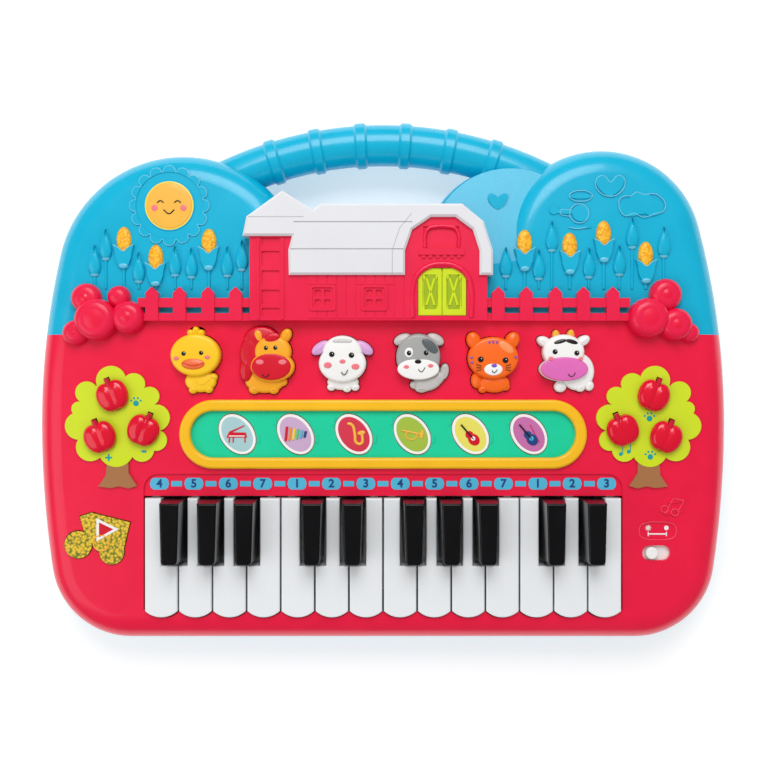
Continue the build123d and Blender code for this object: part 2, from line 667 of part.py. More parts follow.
def header_plan():
    """Shallow strip behind the keys that carries their numbers."""
    with BuildSketch() as plan:
        with Locations((0, (KEY_REAR_Y + HEADER_Y) / 2 - 1)):
            Rectangle(2 * KEY_BED_X + 2 * KEY_GAP, HEADER_Y - KEY_REAR_Y + 2)
        fillet(plan.vertices().group_by(Axis.Y)[-1], HEADER_CORNER)
    return plan.sketch


def switch_slot(length, width):
    """Rounded slot at the power switch."""
    with BuildSketch() as plan:
        with Locations(SWITCH_CENTRE):
            SlotOverall(length, width)
    return plan.sketch


def switch_label():
    """Sunken capsule that carries the power marks."""
    with BuildSketch() as plan:
        with Locations(SWITCH_LABEL_CENTRE):
            SlotOverall(*SWITCH_LABEL)
    return plan.sketch


def door_plan(grow=0.0):
    """Outline of the barn doors, round at the top corners."""
    with BuildSketch() as plan:
        with Locations(DOOR_CENTRE):
            Rectangle(DOOR_SIZE[0] + 2 * grow, DOOR_SIZE[1] + 2 * grow)
        fillet(plan.vertices().group_by(Axis.Y)[-1], DOOR_ROUND + grow)
    return plan.sketch


# ================================================================ front cover
button_plans = [ovals(flat(animal(name)), BUTTON_GAP) for name in ANIMALS]
button_plans += [apple_plan(place, BUTTON_GAP) for place in apple_places()]
button_plans += [pad_plan(index, BUTTON_GAP) for index in range(PAD_COUNT)]
button_plans.append(note_plan(BUTTON_GAP))
button_plans.append(switch_slot(*SWITCH_SLOT))

with BuildPart() as front_cover:
    add(upper_solid)
    add(upper_hollow, mode=Mode.SUBTRACT)
    add(sky_zone, mode=Mode.SUBTRACT)
    add(prism(key_opening(), PARTING_Z, FACE_Z + 1), mode=Mode.SUBTRACT)
    add(prism(header_plan(), HEADER_Z, FACE_Z + 1), mode=Mode.SUBTRACT)
    add(prism(stadium(), PANEL_SEAT_Z, FACE_Z + 1), mode=Mode.SUBTRACT)
    add(prism(switch_label(), FACE_Z - 0.6, FACE_Z + 1), mode=Mode.SUBTRACT)
    for plan in button_plans:
        add(prism(plan, CEILING_Z - 1, FACE_Z + 1), mode=Mode.SUBTRACT)
    # Ribs under the ceiling hold the rod that the keys turn on.
    with BuildSketch(Plane.YZ):
        with Locations((RAIL_Y, (RIB_BOTTOM_Z + CEILING_Z) / 2)):
            Rectangle(RIB_DEPTH, CEILING_Z - RIB_BOTTOM_Z)
        with Locations((RAIL_Y, RAIL_Z)):
            Circle(RAIL_RADIUS, mode=Mode.SUBTRACT)
    ribs = extrude(amount=RIB_WIDTH / 2, both=True, mode=Mode.PRIVATE)
    for x in RAIL_RIBS:
        add(ribs.moved(Location((x, 0, 0))))
    # Walls that line the key opening.
    with BuildSketch(Plane.XY.offset(LINING_BOTTOM_Z)):
        add(box_plan(-LINING_X, LINING_X, KEY_TIP_Y - LINING_GAP - WALL, KEY_REAR_Y))
        add(
            box_plan(-LINING_X + WALL, LINING_X - WALL, KEY_TIP_Y - LINING_GAP, KEY_REAR_Y + 1),
            mode=Mode.SUBTRACT,
        )
    extrude(amount=CEILING_Z - LINING_BOTTOM_Z + 0.5)
    add(prism(ovals(FACE_OVALS), FACE_Z - EMBOSS, FACE_Z + EMBOSS))
    add(boss_tubes(SCREW_POINTS_FRONT, BOSS_MEET_Z, CEILING_Z, SCREW_RADIUS, SCREW_TIP_Z + 1))
save(front_cover.part, "front_cover")

# ================================================================ sky cover
with BuildPart() as sky_cover:
    add(upper_solid)
    add(slope_solid)
    add(bar_solid)
    add(grip_rings())
    add(above_parting, mode=Mode.INTERSECT)
    add(upper_hollow, mode=Mode.SUBTRACT)
    add(slope_hollow, mode=Mode.SUBTRACT)
    add(bar_hollow, mode=Mode.SUBTRACT)
    add(sky_zone, mode=Mode.INTERSECT)
    # Sun with a scalloped rim.
    with BuildSketch(Plane.XY.offset(EMBOSS_FOOT_Z)):
        with Locations(SUN):
            Circle(SUN_RING)
            with PolarLocations(SUN_RING, SUN_LOBES):
                Circle(SUN_LOBE)
    extrude(amount=FACE_Z + EMBOSS - EMBOSS_FOOT_Z)
    with BuildSketch(Plane.XY.offset(FACE_Z + EMBOSS)):
        with Locations(SUN):
            Circle(SUN_RING + 0.6)
            Circle(SUN_DISC, mode=Mode.SUBTRACT)
    extrude(amount=-0.5, mode=Mode.SUBTRACT)
    # Corn, buds and the little pictures are raised from the face.
    add(prism(ovals(CLOUD + HELICOPTER + BIG_HEART), EMBOSS_FOOT_Z, FACE_Z + EMBOSS))
    for x, y, half_width, half_depth, lean in SKY_OVALS:
        add(pebble(x, y, half_width, half_depth, lean, FACE_Z - 1, FACE_Z + EMBOSS, 0.3))
    add(prism(ovals(SLOPE_OVALS), SLOPE_OVAL_Z - EMBOSS, SLOPE_OVAL_Z + EMBOSS))
    add(boss_tubes(SCREW_POINTS_SKY, BOSS_MEET_Z, CEILING_Z, SCREW_RADIUS, SCREW_TIP_Z + 1))
save(sky_cover.part, "sky_cover")

# ================================================================ rear cover
lower_solid = housing(0, BASE_Z, REAR_FLANK)
lower_hollow = housing(WALL, FLOOR_Z, REAR_FLANK - WALL)
below_parting = prism(box_plan(-250, 250, -250, 250), -1, PARTING_Z)
grille = [(0.0, 0.0)]
for ring in range(1, 5):
    grille += [on_circle((0, 0), 5 * ring, 60 * step / ring) for step in range(6 * ring)]

with BuildPart() as rear_cover:
    add(lower_solid)
    add(low_hill(0, BASE_Z, REAR_FLANK))
    add(bar_solid)
    add(grip_rings())
    add(below_parting, mode=Mode.INTERSECT)
    add(lower_hollow, mode=Mode.SUBTRACT)
    add(low_hill(WALL, FLOOR_Z, REAR_FLANK - WALL), mode=Mode.SUBTRACT)
    add(bar_hollow, mode=Mode.SUBTRACT)
    with BuildSketch():
        with Locations(*FEET):
            Circle(FOOT_RADIUS)
    extrude(amount=FLOOR_Z)
    fillet(rear_cover.edges().group_by(Axis.Z)[0], 0.8)
    # Battery bay: a box standing on the floor, open downward, with a ledge for the door.
    with BuildSketch(Plane.XY.offset(BASE_Z)):
        with Locations(BAY_CENTRE):
            Rectangle(DOOR_PLATE[0] + 2 * BAY_WALL, DOOR_PLATE[1] + 2 * BAY_WALL)
    extrude(amount=LEDGE_TOP_Z - BASE_Z)
    with BuildSketch(Plane.XY.offset(FLOOR_Z)):
        with Locations(BAY_CENTRE):
            Rectangle(BAY_SIZE[0] + 2 * BAY_WALL, BAY_SIZE[1] + 2 * BAY_WALL)
    extrude(amount=BAY_TOP_Z - FLOOR_Z)
    with BuildSketch(Plane.XY):
        with Locations(BAY_CENTRE):
            Rectangle(BAY_SIZE[0], BAY_SIZE[1])
    extrude(amount=BAY_TOP_Z - BAY_WALL, mode=Mode.SUBTRACT)
    with BuildSketch(Plane.XY):
        with Locations(BAY_CENTRE):
            Rectangle(DOOR_PLATE[0] + 2 * DOOR_PLAY, DOOR_PLATE[1] + 2 * DOOR_PLAY)
    extrude(amount=FLOOR_Z, mode=Mode.SUBTRACT)
    # Sound holes.
    with BuildSketch():
        with Locations(*[(SPEAKER_CENTRE[0] + x, SPEAKER_CENTRE[1] + y) for x, y in grille]):
            Circle(SOUND_HOLE)
    extrude(amount=FLOOR_Z, mode=Mode.SUBTRACT)
    # Screw posts and board posts.
    with BuildSketch(Plane.XY.offset(FLOOR_Z)):
        with Locations(*SCREW_POINTS_FRONT, *SCREW_POINTS_SKY):
            Circle(BOSS_RADIUS)
    extrude(amount=BOSS_MEET_Z - FLOOR_Z)
    with BuildSketch():
        with Locations(*SCREW_POINTS_FRONT, *SCREW_POINTS_SKY):
            Circle(SCREW_HEAD[0] + 0.2)
    extrude(amount=SCREW_SEAT_Z, mode=Mode.SUBTRACT)
    with BuildSketch():
        with Locations(*SCREW_POINTS_FRONT, *SCREW_POINTS_SKY):
            Circle(SCREW_RADIUS + 0.2)
    extrude(amount=BOSS_MEET_Z, mode=Mode.SUBTRACT)
    with BuildSketch(Plane.XY.offset(FLOOR_Z)):
        with Locations(*BOARD_POSTS):
            Circle(3.0)
    extrude(amount=BOARD_Z - FLOOR_Z)
save(rear_cover.part, "rear_cover")

# ================================================================ battery door
with BuildPart() as battery_door:
    with BuildSketch(Plane.XY.offset(BASE_Z)):
        with Locations(BAY_CENTRE):
            Rectangle(*DOOR_PLATE)
    extrude(amount=DOOR_THICK)
    fillet(battery_door.edges().filter_by(Axis.Z), 1.0)
    with BuildSketch(Plane.XY.offset(BASE_Z)):
        with Locations((BAY_CENTRE[0], BAY_CENTRE[1] + DOOR_PLATE[1] / 2 - 8)):
            with GridLocations(0, 3, 1, 3):
                SlotOverall(22, 1.4)
    extrude(amount=0.6, mode=Mode.SUBTRACT)
save(battery_door.part, "battery_door")

# ================================================================ barn
with BuildPart() as barn_front:
    with BuildSketch(Plane.XY.offset(FACE_Z)):
        add(polygon(BARN_WALLS))
    extrude(amount=BARN_TOP_Z - FACE_Z)
    # Shallow recesses: windows, door arch and loft hatch.
    with BuildSketch(Plane.XY.offset(BARN_TOP_Z - RECESS)):
        with Locations(*WINDOWS):
            with GridLocations(PANE + 1.6, PANE + 1.6, 2, 2):
                RectangleRounded(PANE, PANE, 0.8)
        with Locations(HATCH_CENTRE):
            Rectangle(*HATCH_SIZE)
        with Locations(*SILO_PANELS):
            RectangleRounded(*SILO_PANEL, 0.8)
        with Locations(*SILO_HALF_PANELS):
            RectangleRounded(*SILO_HALF_PANEL, 0.8)
    extrude(amount=RECESS + 1, mode=Mode.SUBTRACT)
    with BuildSketch(Plane.XY.offset(DOOR_FLOOR_Z)):
        add(door_plan(DOOR_PLAY))
    extrude(amount=BARN_TOP_Z - DOOR_FLOOR_Z, mode=Mode.SUBTRACT)
    # Hollow behind the walls.
    with BuildSketch(Plane.XY.offset(FACE_Z)):
        with Locations(BARN_HOLLOW[0:2]):
            Rectangle(*BARN_HOLLOW[2:4])
    extrude(amount=BARN_TOP_Z - FACE_Z - RECESS - BARN_SHELL, mode=Mode.SUBTRACT)
    # Raised window frames, ladder rails, and a ledge with small blocks under it.
    with BuildSketch(Plane.XY.offset(BARN_TOP_Z)):
        with Locations(*WINDOWS):
            RectangleRounded(WINDOW, WINDOW, 1.6)
            RectangleRounded(WINDOW - 3.0, WINDOW - 3.0, 1.0, mode=Mode.SUBTRACT)
        with Locations((SILO_PANELS[1][0], (BARN_FOOT_Y + SILO_RAIL_TOP) / 2)):
            with GridLocations(SILO_PANEL[0] + 3.4, 0, 2, 1):
                Rectangle(1.2, SILO_RAIL_TOP - BARN_FOOT_Y - 1.0)
        with Locations((HATCH_CENTRE[0], HATCH_CENTRE[1] - HATCH_SIZE[1] / 2 - 1.8)):
            Rectangle(25.0, 3.2)
        with Locations((HATCH_CENTRE[0], HATCH_CENTRE[1] - HATCH_SIZE[1] / 2 - 4.4)):
            with GridLocations(3.9, 0, 6, 1):
                Rectangle(2.0, 2.4)
    extrude(amount=1.0)
    # Fence.
    with BuildSketch(Plane.XY.offset(FACE_Z)):
        for left, right in (FENCE_SPAN_LEFT, FENCE_SPAN_RIGHT):
            for top, bottom in FENCE_RAILS:
                add(box_plan(left, right, bottom, top))
    extrude(amount=FENCE_TOP_Z - FACE_Z)
    with BuildSketch(Plane.XY.offset(FACE_Z)):
        for x in PICKETS_LEFT + PICKETS_RIGHT:
            half = PICKET_WIDTH / 2
            add(polygon(((x - half, BARN_FOOT_Y), (x + half, BARN_FOOT_Y), (x + half, PICKET_SHOULDER_Y),
                         (x, PICKET_POINT_Y), (x - half, PICKET_SHOULDER_Y))))
    extrude(amount=PICKET_TOP_Z - FACE_Z)
    # Bushes.
    for x, y, radius, top in BUSHES:
        add(pebble(x, y, radius, radius - 0.1, 0, FACE_Z, top, BUSH_ROUND))
save(barn_front.part, "barn_front")

with BuildPart() as barn_roof:
    with BuildSketch(Plane.XY.offset(FACE_Z)):
        add(polygon(ROOF))
    extrude(amount=ROOF_TOP_Z - FACE_Z)
    chamfer(barn_roof.edges().group_by(Axis.Z)[-1], 1.2)
    # Ridge lines across the roof.
    with BuildSketch(Plane.XY.offset(ROOF_TOP_Z)):
        for left, right, y in ROOF_RIDGES:
            add(box_plan(left, right, y - 0.35, y + 0.35))
    extrude(amount=-0.8, mode=Mode.SUBTRACT)
    # The part over the cover is hollow.
    with BuildSketch(Plane.XY.offset(FACE_Z)):
        with Locations(ROOF_HOLLOW[0:2]):
            Rectangle(*ROOF_HOLLOW[2:4])
    extrude(amount=ROOF_TOP_Z - FACE_Z - BARN_SHELL - 0.8, mode=Mode.SUBTRACT)
save(barn_roof.part, "barn_roof")

with BuildPart() as barn_doors:
    with BuildSketch(Plane.XY.offset(DOOR_FLOOR_Z)):
        add(door_plan())
    extrude(amount=DOOR_TOP_Z - DOOR_FLOOR_Z)
    # Sunken panels and the line between the leaves.
    with BuildSketch(Plane.XY.offset(DOOR_TOP_Z)):
        with Locations(DOOR_CENTRE):
            Rectangle(0.8, DOOR_SIZE[1])
            with GridLocations(DOOR_SIZE[0] / 2, 0, 2, 1):
                RectangleRounded(*DOOR_PANEL, 1.2)
    extrude(amount=-RECESS, mode=Mode.SUBTRACT)
    # Crossed braces.
    with BuildSketch(Plane.XY.offset(DOOR_TOP_Z - RECESS)):
        with Locations(DOOR_CENTRE):
            with GridLocations(DOOR_SIZE[0] / 2, 0, 2, 1):
                Rectangle(1.6, DOOR_PANEL[1] + 1.6, rotation=BRACE_LEAN)
                Rectangle(1.6, DOOR_PANEL[1] + 1.6, rotation=-BRACE_LEAN)
    extrude(amount=RECESS - 0.3)
save(barn_doors.part, "barn_doors")

# ================================================================ tree plates
def tree_plan():
    """Crown and trunk of the left tree."""
    with BuildSketch() as plan:
        add(ovals([(x - TREE_CENTRE[0], y + TREE_CENTRE[1], r, r - 0.1, 0) for x, y, r in CROWN_LOBES]))
        add(polygon([(x - TREE_CENTRE[0], y + TREE_CENTRE[1]) for x, y in TRUNK]))
    return plan.sketch


with BuildPart() as tree_plates:
    with BuildSketch(Plane.XY.offset(FACE_Z)):
        add(tree_plan())
        mirror(about=Plane.YZ)
    extrude(amount=TREE_TOP_Z - FACE_Z)
    for place in apple_places():
        add(prism(apple_plan(place, BUTTON_GAP), FACE_Z - 1, TREE_TOP_Z + 1), mode=Mode.SUBTRACT)
save(tree_plates.part, "tree_plates")

# ================================================================ instrument panel
with BuildPart() as panel_bezel:
    with BuildSketch(Plane.XY.offset(PANEL_SEAT_Z)):
        add(stadium())
        add(stadium(-BEZEL_WIDTH), mode=Mode.SUBTRACT)
    extrude(amount=BEZEL_TOP_Z - PANEL_SEAT_Z)
    fillet(panel_bezel.edges().group_by(Axis.Z)[-1], 1.6)
save(panel_bezel.part, "panel_bezel")

with BuildPart() as panel_overlay:
    with BuildSketch(Plane.XY.offset(PANEL_SEAT_Z)):
        add(stadium(-BEZEL_WIDTH))
        for index in range(PAD_COUNT):
            add(pad_plan(index, BUTTON_GAP), mode=Mode.SUBTRACT)
    extrude(amount=OVERLAY_Z - PANEL_SEAT_Z)
save(panel_overlay.part, "panel_overlay")


# ================================================================ push buttons
def stem_bottom(travel):
    """Lowest point of a button's stem, just above its rubber dome."""
    return DOME_TOP_Z + travel + DOME_GAP


def button_base(flange, stems, travel, sink=0.0):
    """The hidden part of a push button: a flange under the ceiling and stems to the domes."""
    with BuildPart() as base:
        add(prism(flange, FLANGE_BOTTOM_Z - sink, FLANGE_TOP_Z - sink))
        with BuildSketch(Plane.XY.offset(stem_bottom(travel))):
            with Locations(*stems):
                Circle(STEM_RADIUS)
        extrude(amount=FLANGE_BOTTOM_Z - stem_bottom(travel) + FLANGE_GROWTH)
    return base.part


dome_points = []

for name in ANIMALS:
    shapes = animal(name)
    centre = (ANIMALS[name][0], ANIMAL_Y)
    with BuildPart() as animal_button:
        add(button_base(ovals(flat(shapes), FLANGE_GROWTH), [centre], ANIMAL_TRAVEL))
        for x, y, half_width, half_depth, lean, top in shapes:
            add(pebble(x, y, half_width, half_depth, lean, FLANGE_TOP_Z - 0.5, top, ANIMAL_ROUND))
    dome_points.append(centre)
    save(animal_button.part, f"{name}_button")

for index, place in enumerate(apple_places()):
    with BuildPart() as apple_button:
        add(button_base(apple_plan(place, FLANGE_GROWTH), [place[0:2]], APPLE_TRAVEL))
        add(prism(apple_plan(place), FLANGE_TOP_Z - 0.5, STEM_TOP_Z))
        x, y = place[0:2]
        with BuildSketch(Plane.XY.offset(STEM_TOP_Z)):
            with Locations((x, y)):
                Circle(APPLE_CROWN)
        extrude(amount=APPLE_TOP_Z - STEM_TOP_Z)
        fillet(apple_button.edges().group_by(Axis.Z)[-1], APPLE_ROUND)
    dome_points.append(place[0:2])
    save(apple_button.part, f"apple_button_{index + 1}")

for index, name in enumerate(INSTRUMENTS):
    with BuildPart() as pad_button:
        add(button_base(pad_plan(index, FLANGE_GROWTH), [pad_place(index)], PAD_TRAVEL))
        add(pebble(*pad_place(index), *PAD_AXES, PAD_TILT, FLANGE_TOP_Z - 0.5, PAD_TOP_Z, 0.4))
    dome_points.append(pad_place(index))
    save(pad_button.part, f"{name}_button")

with BuildPart() as note_button:
    stems = [NOTE_LEFT_HEAD[0:2], NOTE_RIGHT_HEAD[0:2]]
    add(button_base(note_plan(FLANGE_GROWTH), stems, NOTE_TRAVEL, NOTE_SINK))
    add(prism(note_plan(), FLANGE_TOP_Z - NOTE_SINK - 0.5, NOTE_TOP_Z))
dome_points += stems
save(note_button.part, "note_button")

with BuildPart() as power_switch_knob:
    with BuildSketch(Plane.XY.offset(FLANGE_BOTTOM_Z)):
        with Locations((SWITCH_CENTRE[0] - SWITCH_TRAVEL / 2, SWITCH_CENTRE[1])):
            SlotOverall(SWITCH_SLOT[0] + 2 * SWITCH_TRAVEL, SWITCH_SLOT[1] + 2 * FLANGE_GROWTH)
    extrude(amount=FLANGE_TOP_Z - FLANGE_BOTTOM_Z)
    with BuildSketch(Plane.XY.offset(FLANGE_BOTTOM_Z)):
        with Locations((SWITCH_CENTRE[0] - SWITCH_TRAVEL / 2, SWITCH_CENTRE[1])):
            Circle(KNOB_RADIUS)
    extrude(amount=KNOB_TOP_Z - FLANGE_BOTTOM_Z)
    fillet(power_switch_knob.edges().group_by(Axis.Z)[-1], 0.9)
save(power_switch_knob.part, "power_switch_knob")


# ================================================================ keys
def white_plan(index, inset=0.0):
    """Plan of a white key, notched beside its black neighbours."""
    left = white_left(index) + KEY_GAP / 2
    right = white_left(index + 1) - KEY_GAP / 2
    notch_left, notch_right = notch_sides(index)
    with BuildSketch() as plan:
        add(box_plan(left, right, KEY_SHOULDER_Y, KEY_BACK_Y))
        add(key_tip(index))
        if index - 1 in BLACK_AFTER:
            edge = white_left(index) + notch_left
            add(box_plan(left - 1, edge, NOTCH_END_Y, KEY_REAR_Y), mode=Mode.SUBTRACT)
        if index in BLACK_AFTER:
            edge = white_left(index + 1) - notch_right
            add(box_plan(edge, right + 1, NOTCH_END_Y, KEY_REAR_Y), mode=Mode.SUBTRACT)
        if inset:
            offset(amount=-inset, kind=Kind.INTERSECTION)
    return plan.sketch


def black_plan(inset=0.0):
    """Plan of a black key's foot, about its own middle."""
    rear = BLACK_REAR_WIDTH / 2 - inset
    tip = BLACK_TIP_WIDTH / 2 - inset
    with BuildSketch() as plan:
        add(polygon(((-tip, BLACK_TIP_Y + inset), (tip, BLACK_TIP_Y + inset),
                     (rear, KEY_BACK_Y - inset), (-rear, KEY_BACK_Y - inset))))
        fillet(plan.vertices().group_by(Axis.Y)[0], 3.4 - inset)
    return plan.sketch


def hinge_arm(x):
    """Arm behind a key with the hook that grips the rod."""
    with BuildPart() as arm:
        with BuildSketch(Plane.YZ.offset(x - ARM_WIDTH / 2)):
            with Locations(((KEY_BACK_Y - KEY_WALL / 2 + RAIL_Y) / 2, (ARM_BOTTOM_Z + ARM_TOP_Z) / 2)):
                Rectangle(RAIL_Y - KEY_BACK_Y + KEY_WALL / 2, ARM_TOP_Z - ARM_BOTTOM_Z)
            with Locations((RAIL_Y, RAIL_Z)):
                Circle(HOOK_RADIUS)
            with Locations((RAIL_Y, RAIL_Z)):
                Circle(HOOK_BORE, mode=Mode.SUBTRACT)
            with Locations((RAIL_Y, RAIL_Z - HOOK_RADIUS)):
                Rectangle(HOOK_MOUTH, 2 * HOOK_RADIUS - HOOK_BORE, mode=Mode.SUBTRACT)
        extrude(amount=ARM_WIDTH)
    return arm.part


def plunger(x, y, bottom, top):
    """Post under a key that presses its dome."""
    return prism(disc(x, y, STEM_RADIUS - 0.5), bottom, top)


for index in range(WHITE_COUNT):
    middle = white_left(index) + PITCH / 2
    with BuildPart() as white_key:
        add(prism(white_plan(index), KEY_SKIRT_Z, KEY_TOP_Z))
        fillet(white_key.edges().group_by(Axis.Z)[-1], KEY_ROUND)
        add(prism(white_plan(index, KEY_WALL), KEY_SKIRT_Z, KEY_TOP_Z - KEY_WALL), mode=Mode.SUBTRACT)
        add(plunger(middle, WHITE_PLUNGER[0], WHITE_PLUNGER[1], KEY_TOP_Z - KEY_WALL))
        add(hinge_arm(tongue_centre(index)))
    dome_points.append((middle, WHITE_PLUNGER[0]))
    save(white_key.part, f"white_key_{index + 1}")

with BuildPart() as black_body:
    with BuildSketch(Plane.XY.offset(BLACK_SKIRT_Z)):
        add(black_plan())
    with BuildSketch(Plane.XY.offset(BLACK_TOP_Z)):
        add(black_plan(BLACK_DRAFT))
    loft(ruled=True)
    fillet(black_body.faces().sort_by(Axis.Z)[-1].outer_wire().edges(), BLACK_ROUND)
    with BuildSketch(Plane.XY.offset(BLACK_SKIRT_Z)):
        add(black_plan(KEY_WALL))
    with BuildSketch(Plane.XY.offset(BLACK_TOP_Z - KEY_WALL)):
        add(black_plan(KEY_WALL + BLACK_DRAFT))
    loft(ruled=True, mode=Mode.SUBTRACT)
    add(plunger(0, BLACK_PLUNGER[0], BLACK_PLUNGER[1], BLACK_TOP_Z - KEY_WALL))
    add(hinge_arm(0))

for number, index in enumerate(BLACK_AFTER):
    middle = black_centre(index)
    with BuildPart() as black_key:
        add(black_body.part.moved(Location((middle, 0, 0))))
    dome_points.append((middle, BLACK_PLUNGER[0]))
    save(black_key.part, f"black_key_{number + 1}")

with BuildPart() as key_pivot_rod:
    with BuildSketch(Plane.YZ.offset(-RAIL_HALF)):
        with Locations((RAIL_Y, RAIL_Z)):
            Circle(RAIL_RADIUS)
    extrude(amount=2 * RAIL_HALF)
save(key_pivot_rod.part, "key_pivot_rod")

# ================================================================ electronics
with BuildPart() as circuit_board:
    with BuildSketch(Plane.XY.offset(BOARD_Z)):
        add(polygon(BOARD))
    extrude(amount=BOARD_THICK)
    with BuildSketch(Plane.XY.offset(BOARD_Z)):
        with Locations(*CHIPS):
            Rectangle(14, 10)
    extrude(amount=-2.0)
    with BuildSketch(Plane.XY.offset(BOARD_Z + BOARD_THICK)):
        with Locations((SWITCH_CENTRE[0], SWITCH_CENTRE[1])):
            Rectangle(14, 6)
    extrude(amount=5.0)
save(circuit_board.part, "circuit_board")

with BuildPart() as contact_pads:
    with BuildSketch(Plane.XY.offset(BOARD_Z + BOARD_THICK)):
        add(polygon(PAD_SHEET_PLAN))
    extrude(amount=PAD_SHEET)
    with BuildSketch(Plane.XY.offset(BOARD_Z + BOARD_THICK)):
        with Locations(*dome_points):
            Circle(DOME_RADIUS)
    extrude(amount=DOME_TOP_Z - BOARD_Z - BOARD_THICK)
save(contact_pads.part, "contact_pads")

with BuildPart() as speaker:
    with BuildSketch(Plane.XZ.offset(-SPEAKER_CENTRE[1])):
        add(polygon([(SPEAKER_CENTRE[0] + radius, FLOOR_Z + height) for radius, height in SPEAKER_PROFILE]))
    revolve(axis=Axis((SPEAKER_CENTRE[0], SPEAKER_CENTRE[1], 0), (0, 0, 1)))
save(speaker.part, "speaker")

with BuildPart() as battery_contacts:
    for side in (-1, 1):
        for row in (-1, 0, 1):
            wall_x = BAY_CENTRE[0] + side * BAY_SIZE[0] / 2
            y = BAY_CENTRE[1] + row * CELL_PITCH
            with Locations((wall_x - side * CONTACT_THICK / 2, y, CONTACT_Z)):
                Box(CONTACT_THICK, CONTACT_WIDTH, CONTACT_HEIGHT)
            # Each cell has a coil at one end and a dimple at the other, turned about in each row.
            turns = 5 if side == (-1) ** row else 1
            for turn in range(turns):
                coil_x = wall_x - side * (CONTACT_THICK + COIL_WIRE / 2 + turn * COIL_RISE)
                with Locations(Plane(origin=(coil_x, y, CONTACT_Z), z_dir=(side, 0, 0))):
                    Torus(COIL_RADIUS - turn * COIL_TAPER, COIL_WIRE)
save(battery_contacts.part, "battery_contacts")

with BuildPart() as screws:
    with BuildSketch(Plane.XY.offset(SCREW_SEAT_Z)):
        with Locations(*SCREW_POINTS_FRONT, *SCREW_POINTS_SKY):
            Circle(SCREW_HEAD[0])
    extrude(amount=-SCREW_HEAD[1])
    with BuildSketch(Plane.XY.offset(SCREW_SEAT_Z)):
        with Locations(*SCREW_POINTS_FRONT, *SCREW_POINTS_SKY):
            Circle(SCREW_RADIUS)
    extrude(amount=SCREW_TIP_Z - SCREW_SEAT_Z)
    with BuildSketch(Plane.XY.offset(SCREW_SEAT_Z - SCREW_HEAD[1])):
        with Locations(*SCREW_POINTS_FRONT, *SCREW_POINTS_SKY):
            Rectangle(3.6, 0.8)
            Rectangle(0.8, 3.6)
    extrude(amount=1.2, mode=Mode.SUBTRACT)
save(screws.part, "screws")
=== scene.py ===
import bpy
import math
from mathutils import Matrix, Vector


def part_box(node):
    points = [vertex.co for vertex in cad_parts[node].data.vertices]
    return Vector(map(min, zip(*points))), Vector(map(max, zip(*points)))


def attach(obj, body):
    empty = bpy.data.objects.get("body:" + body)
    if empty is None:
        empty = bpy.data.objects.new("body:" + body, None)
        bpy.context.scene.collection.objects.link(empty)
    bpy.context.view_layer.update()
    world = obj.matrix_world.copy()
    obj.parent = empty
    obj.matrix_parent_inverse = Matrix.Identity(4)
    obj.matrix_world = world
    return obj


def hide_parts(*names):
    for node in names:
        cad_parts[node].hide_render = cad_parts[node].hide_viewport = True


MM = 0.001
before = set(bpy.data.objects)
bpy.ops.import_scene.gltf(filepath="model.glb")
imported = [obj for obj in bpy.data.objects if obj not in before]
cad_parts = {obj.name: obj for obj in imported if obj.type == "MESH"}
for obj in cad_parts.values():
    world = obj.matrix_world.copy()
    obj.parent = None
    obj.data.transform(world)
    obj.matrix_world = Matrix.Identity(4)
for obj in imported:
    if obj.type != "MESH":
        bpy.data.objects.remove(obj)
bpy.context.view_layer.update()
CASE = "case"


# ---------------------------------------------------------------- materials
def new_material(name):
    """An empty node material; returns it with its shader."""
    material = bpy.data.materials.new(name)
    material.use_nodes = True
    return material, material.node_tree.nodes["Principled BSDF"]


def grain(material, shader, colour, spread, scale, rough, bump):
    """Uneven colour, uneven gloss and a fine moulded texture."""
    nodes = material.node_tree.nodes
    links = material.node_tree.links
    place = nodes.new("ShaderNodeTexCoord")
    noise = nodes.new("ShaderNodeTexNoise")
    noise.inputs["Scale"].default_value = scale
    noise.inputs["Detail"].default_value = 4.0
    links.new(place.outputs["Object"], noise.inputs["Vector"])
    ramp = nodes.new("ShaderNodeValToRGB")
    darker = [channel * (1 - spread) for channel in colour]
    ramp.color_ramp.elements[0].position = 0.3
    ramp.color_ramp.elements[0].color = (*darker, 1)
    ramp.color_ramp.elements[1].position = 0.7
    ramp.color_ramp.elements[1].color = (*colour, 1)
    links.new(noise.outputs["Fac"], ramp.inputs["Fac"])
    links.new(ramp.outputs["Color"], shader.inputs["Base Color"])
    gloss = nodes.new("ShaderNodeMapRange")
    gloss.inputs["To Min"].default_value = rough * 0.85
    gloss.inputs["To Max"].default_value = rough * 1.2
    links.new(noise.outputs["Fac"], gloss.inputs["Value"])
    links.new(gloss.outputs["Result"], shader.inputs["Roughness"])
    fine = nodes.new("ShaderNodeTexNoise")
    fine.inputs["Scale"].default_value = scale * 14
    links.new(place.outputs["Object"], fine.inputs["Vector"])
    relief = nodes.new("ShaderNodeBump")
    relief.inputs["Strength"].default_value = bump
    relief.inputs["Distance"].default_value = 0.0002
    links.new(fine.outputs["Fac"], relief.inputs["Height"])
    links.new(relief.outputs["Normal"], shader.inputs["Normal"])


def plastic(name, colour, rough=0.3, spread=0.05, bump=0.06, coat=0.25, scale=60):
    """Moulded plastic."""
    material, shader = new_material(name)
    grain(material, shader, colour, spread, scale, rough, bump)
    shader.inputs["Specular IOR Level"].default_value = 0.4
    shader.inputs["Coat Weight"].default_value = coat
    shader.inputs["Coat Roughness"].default_value = 0.1
    return material


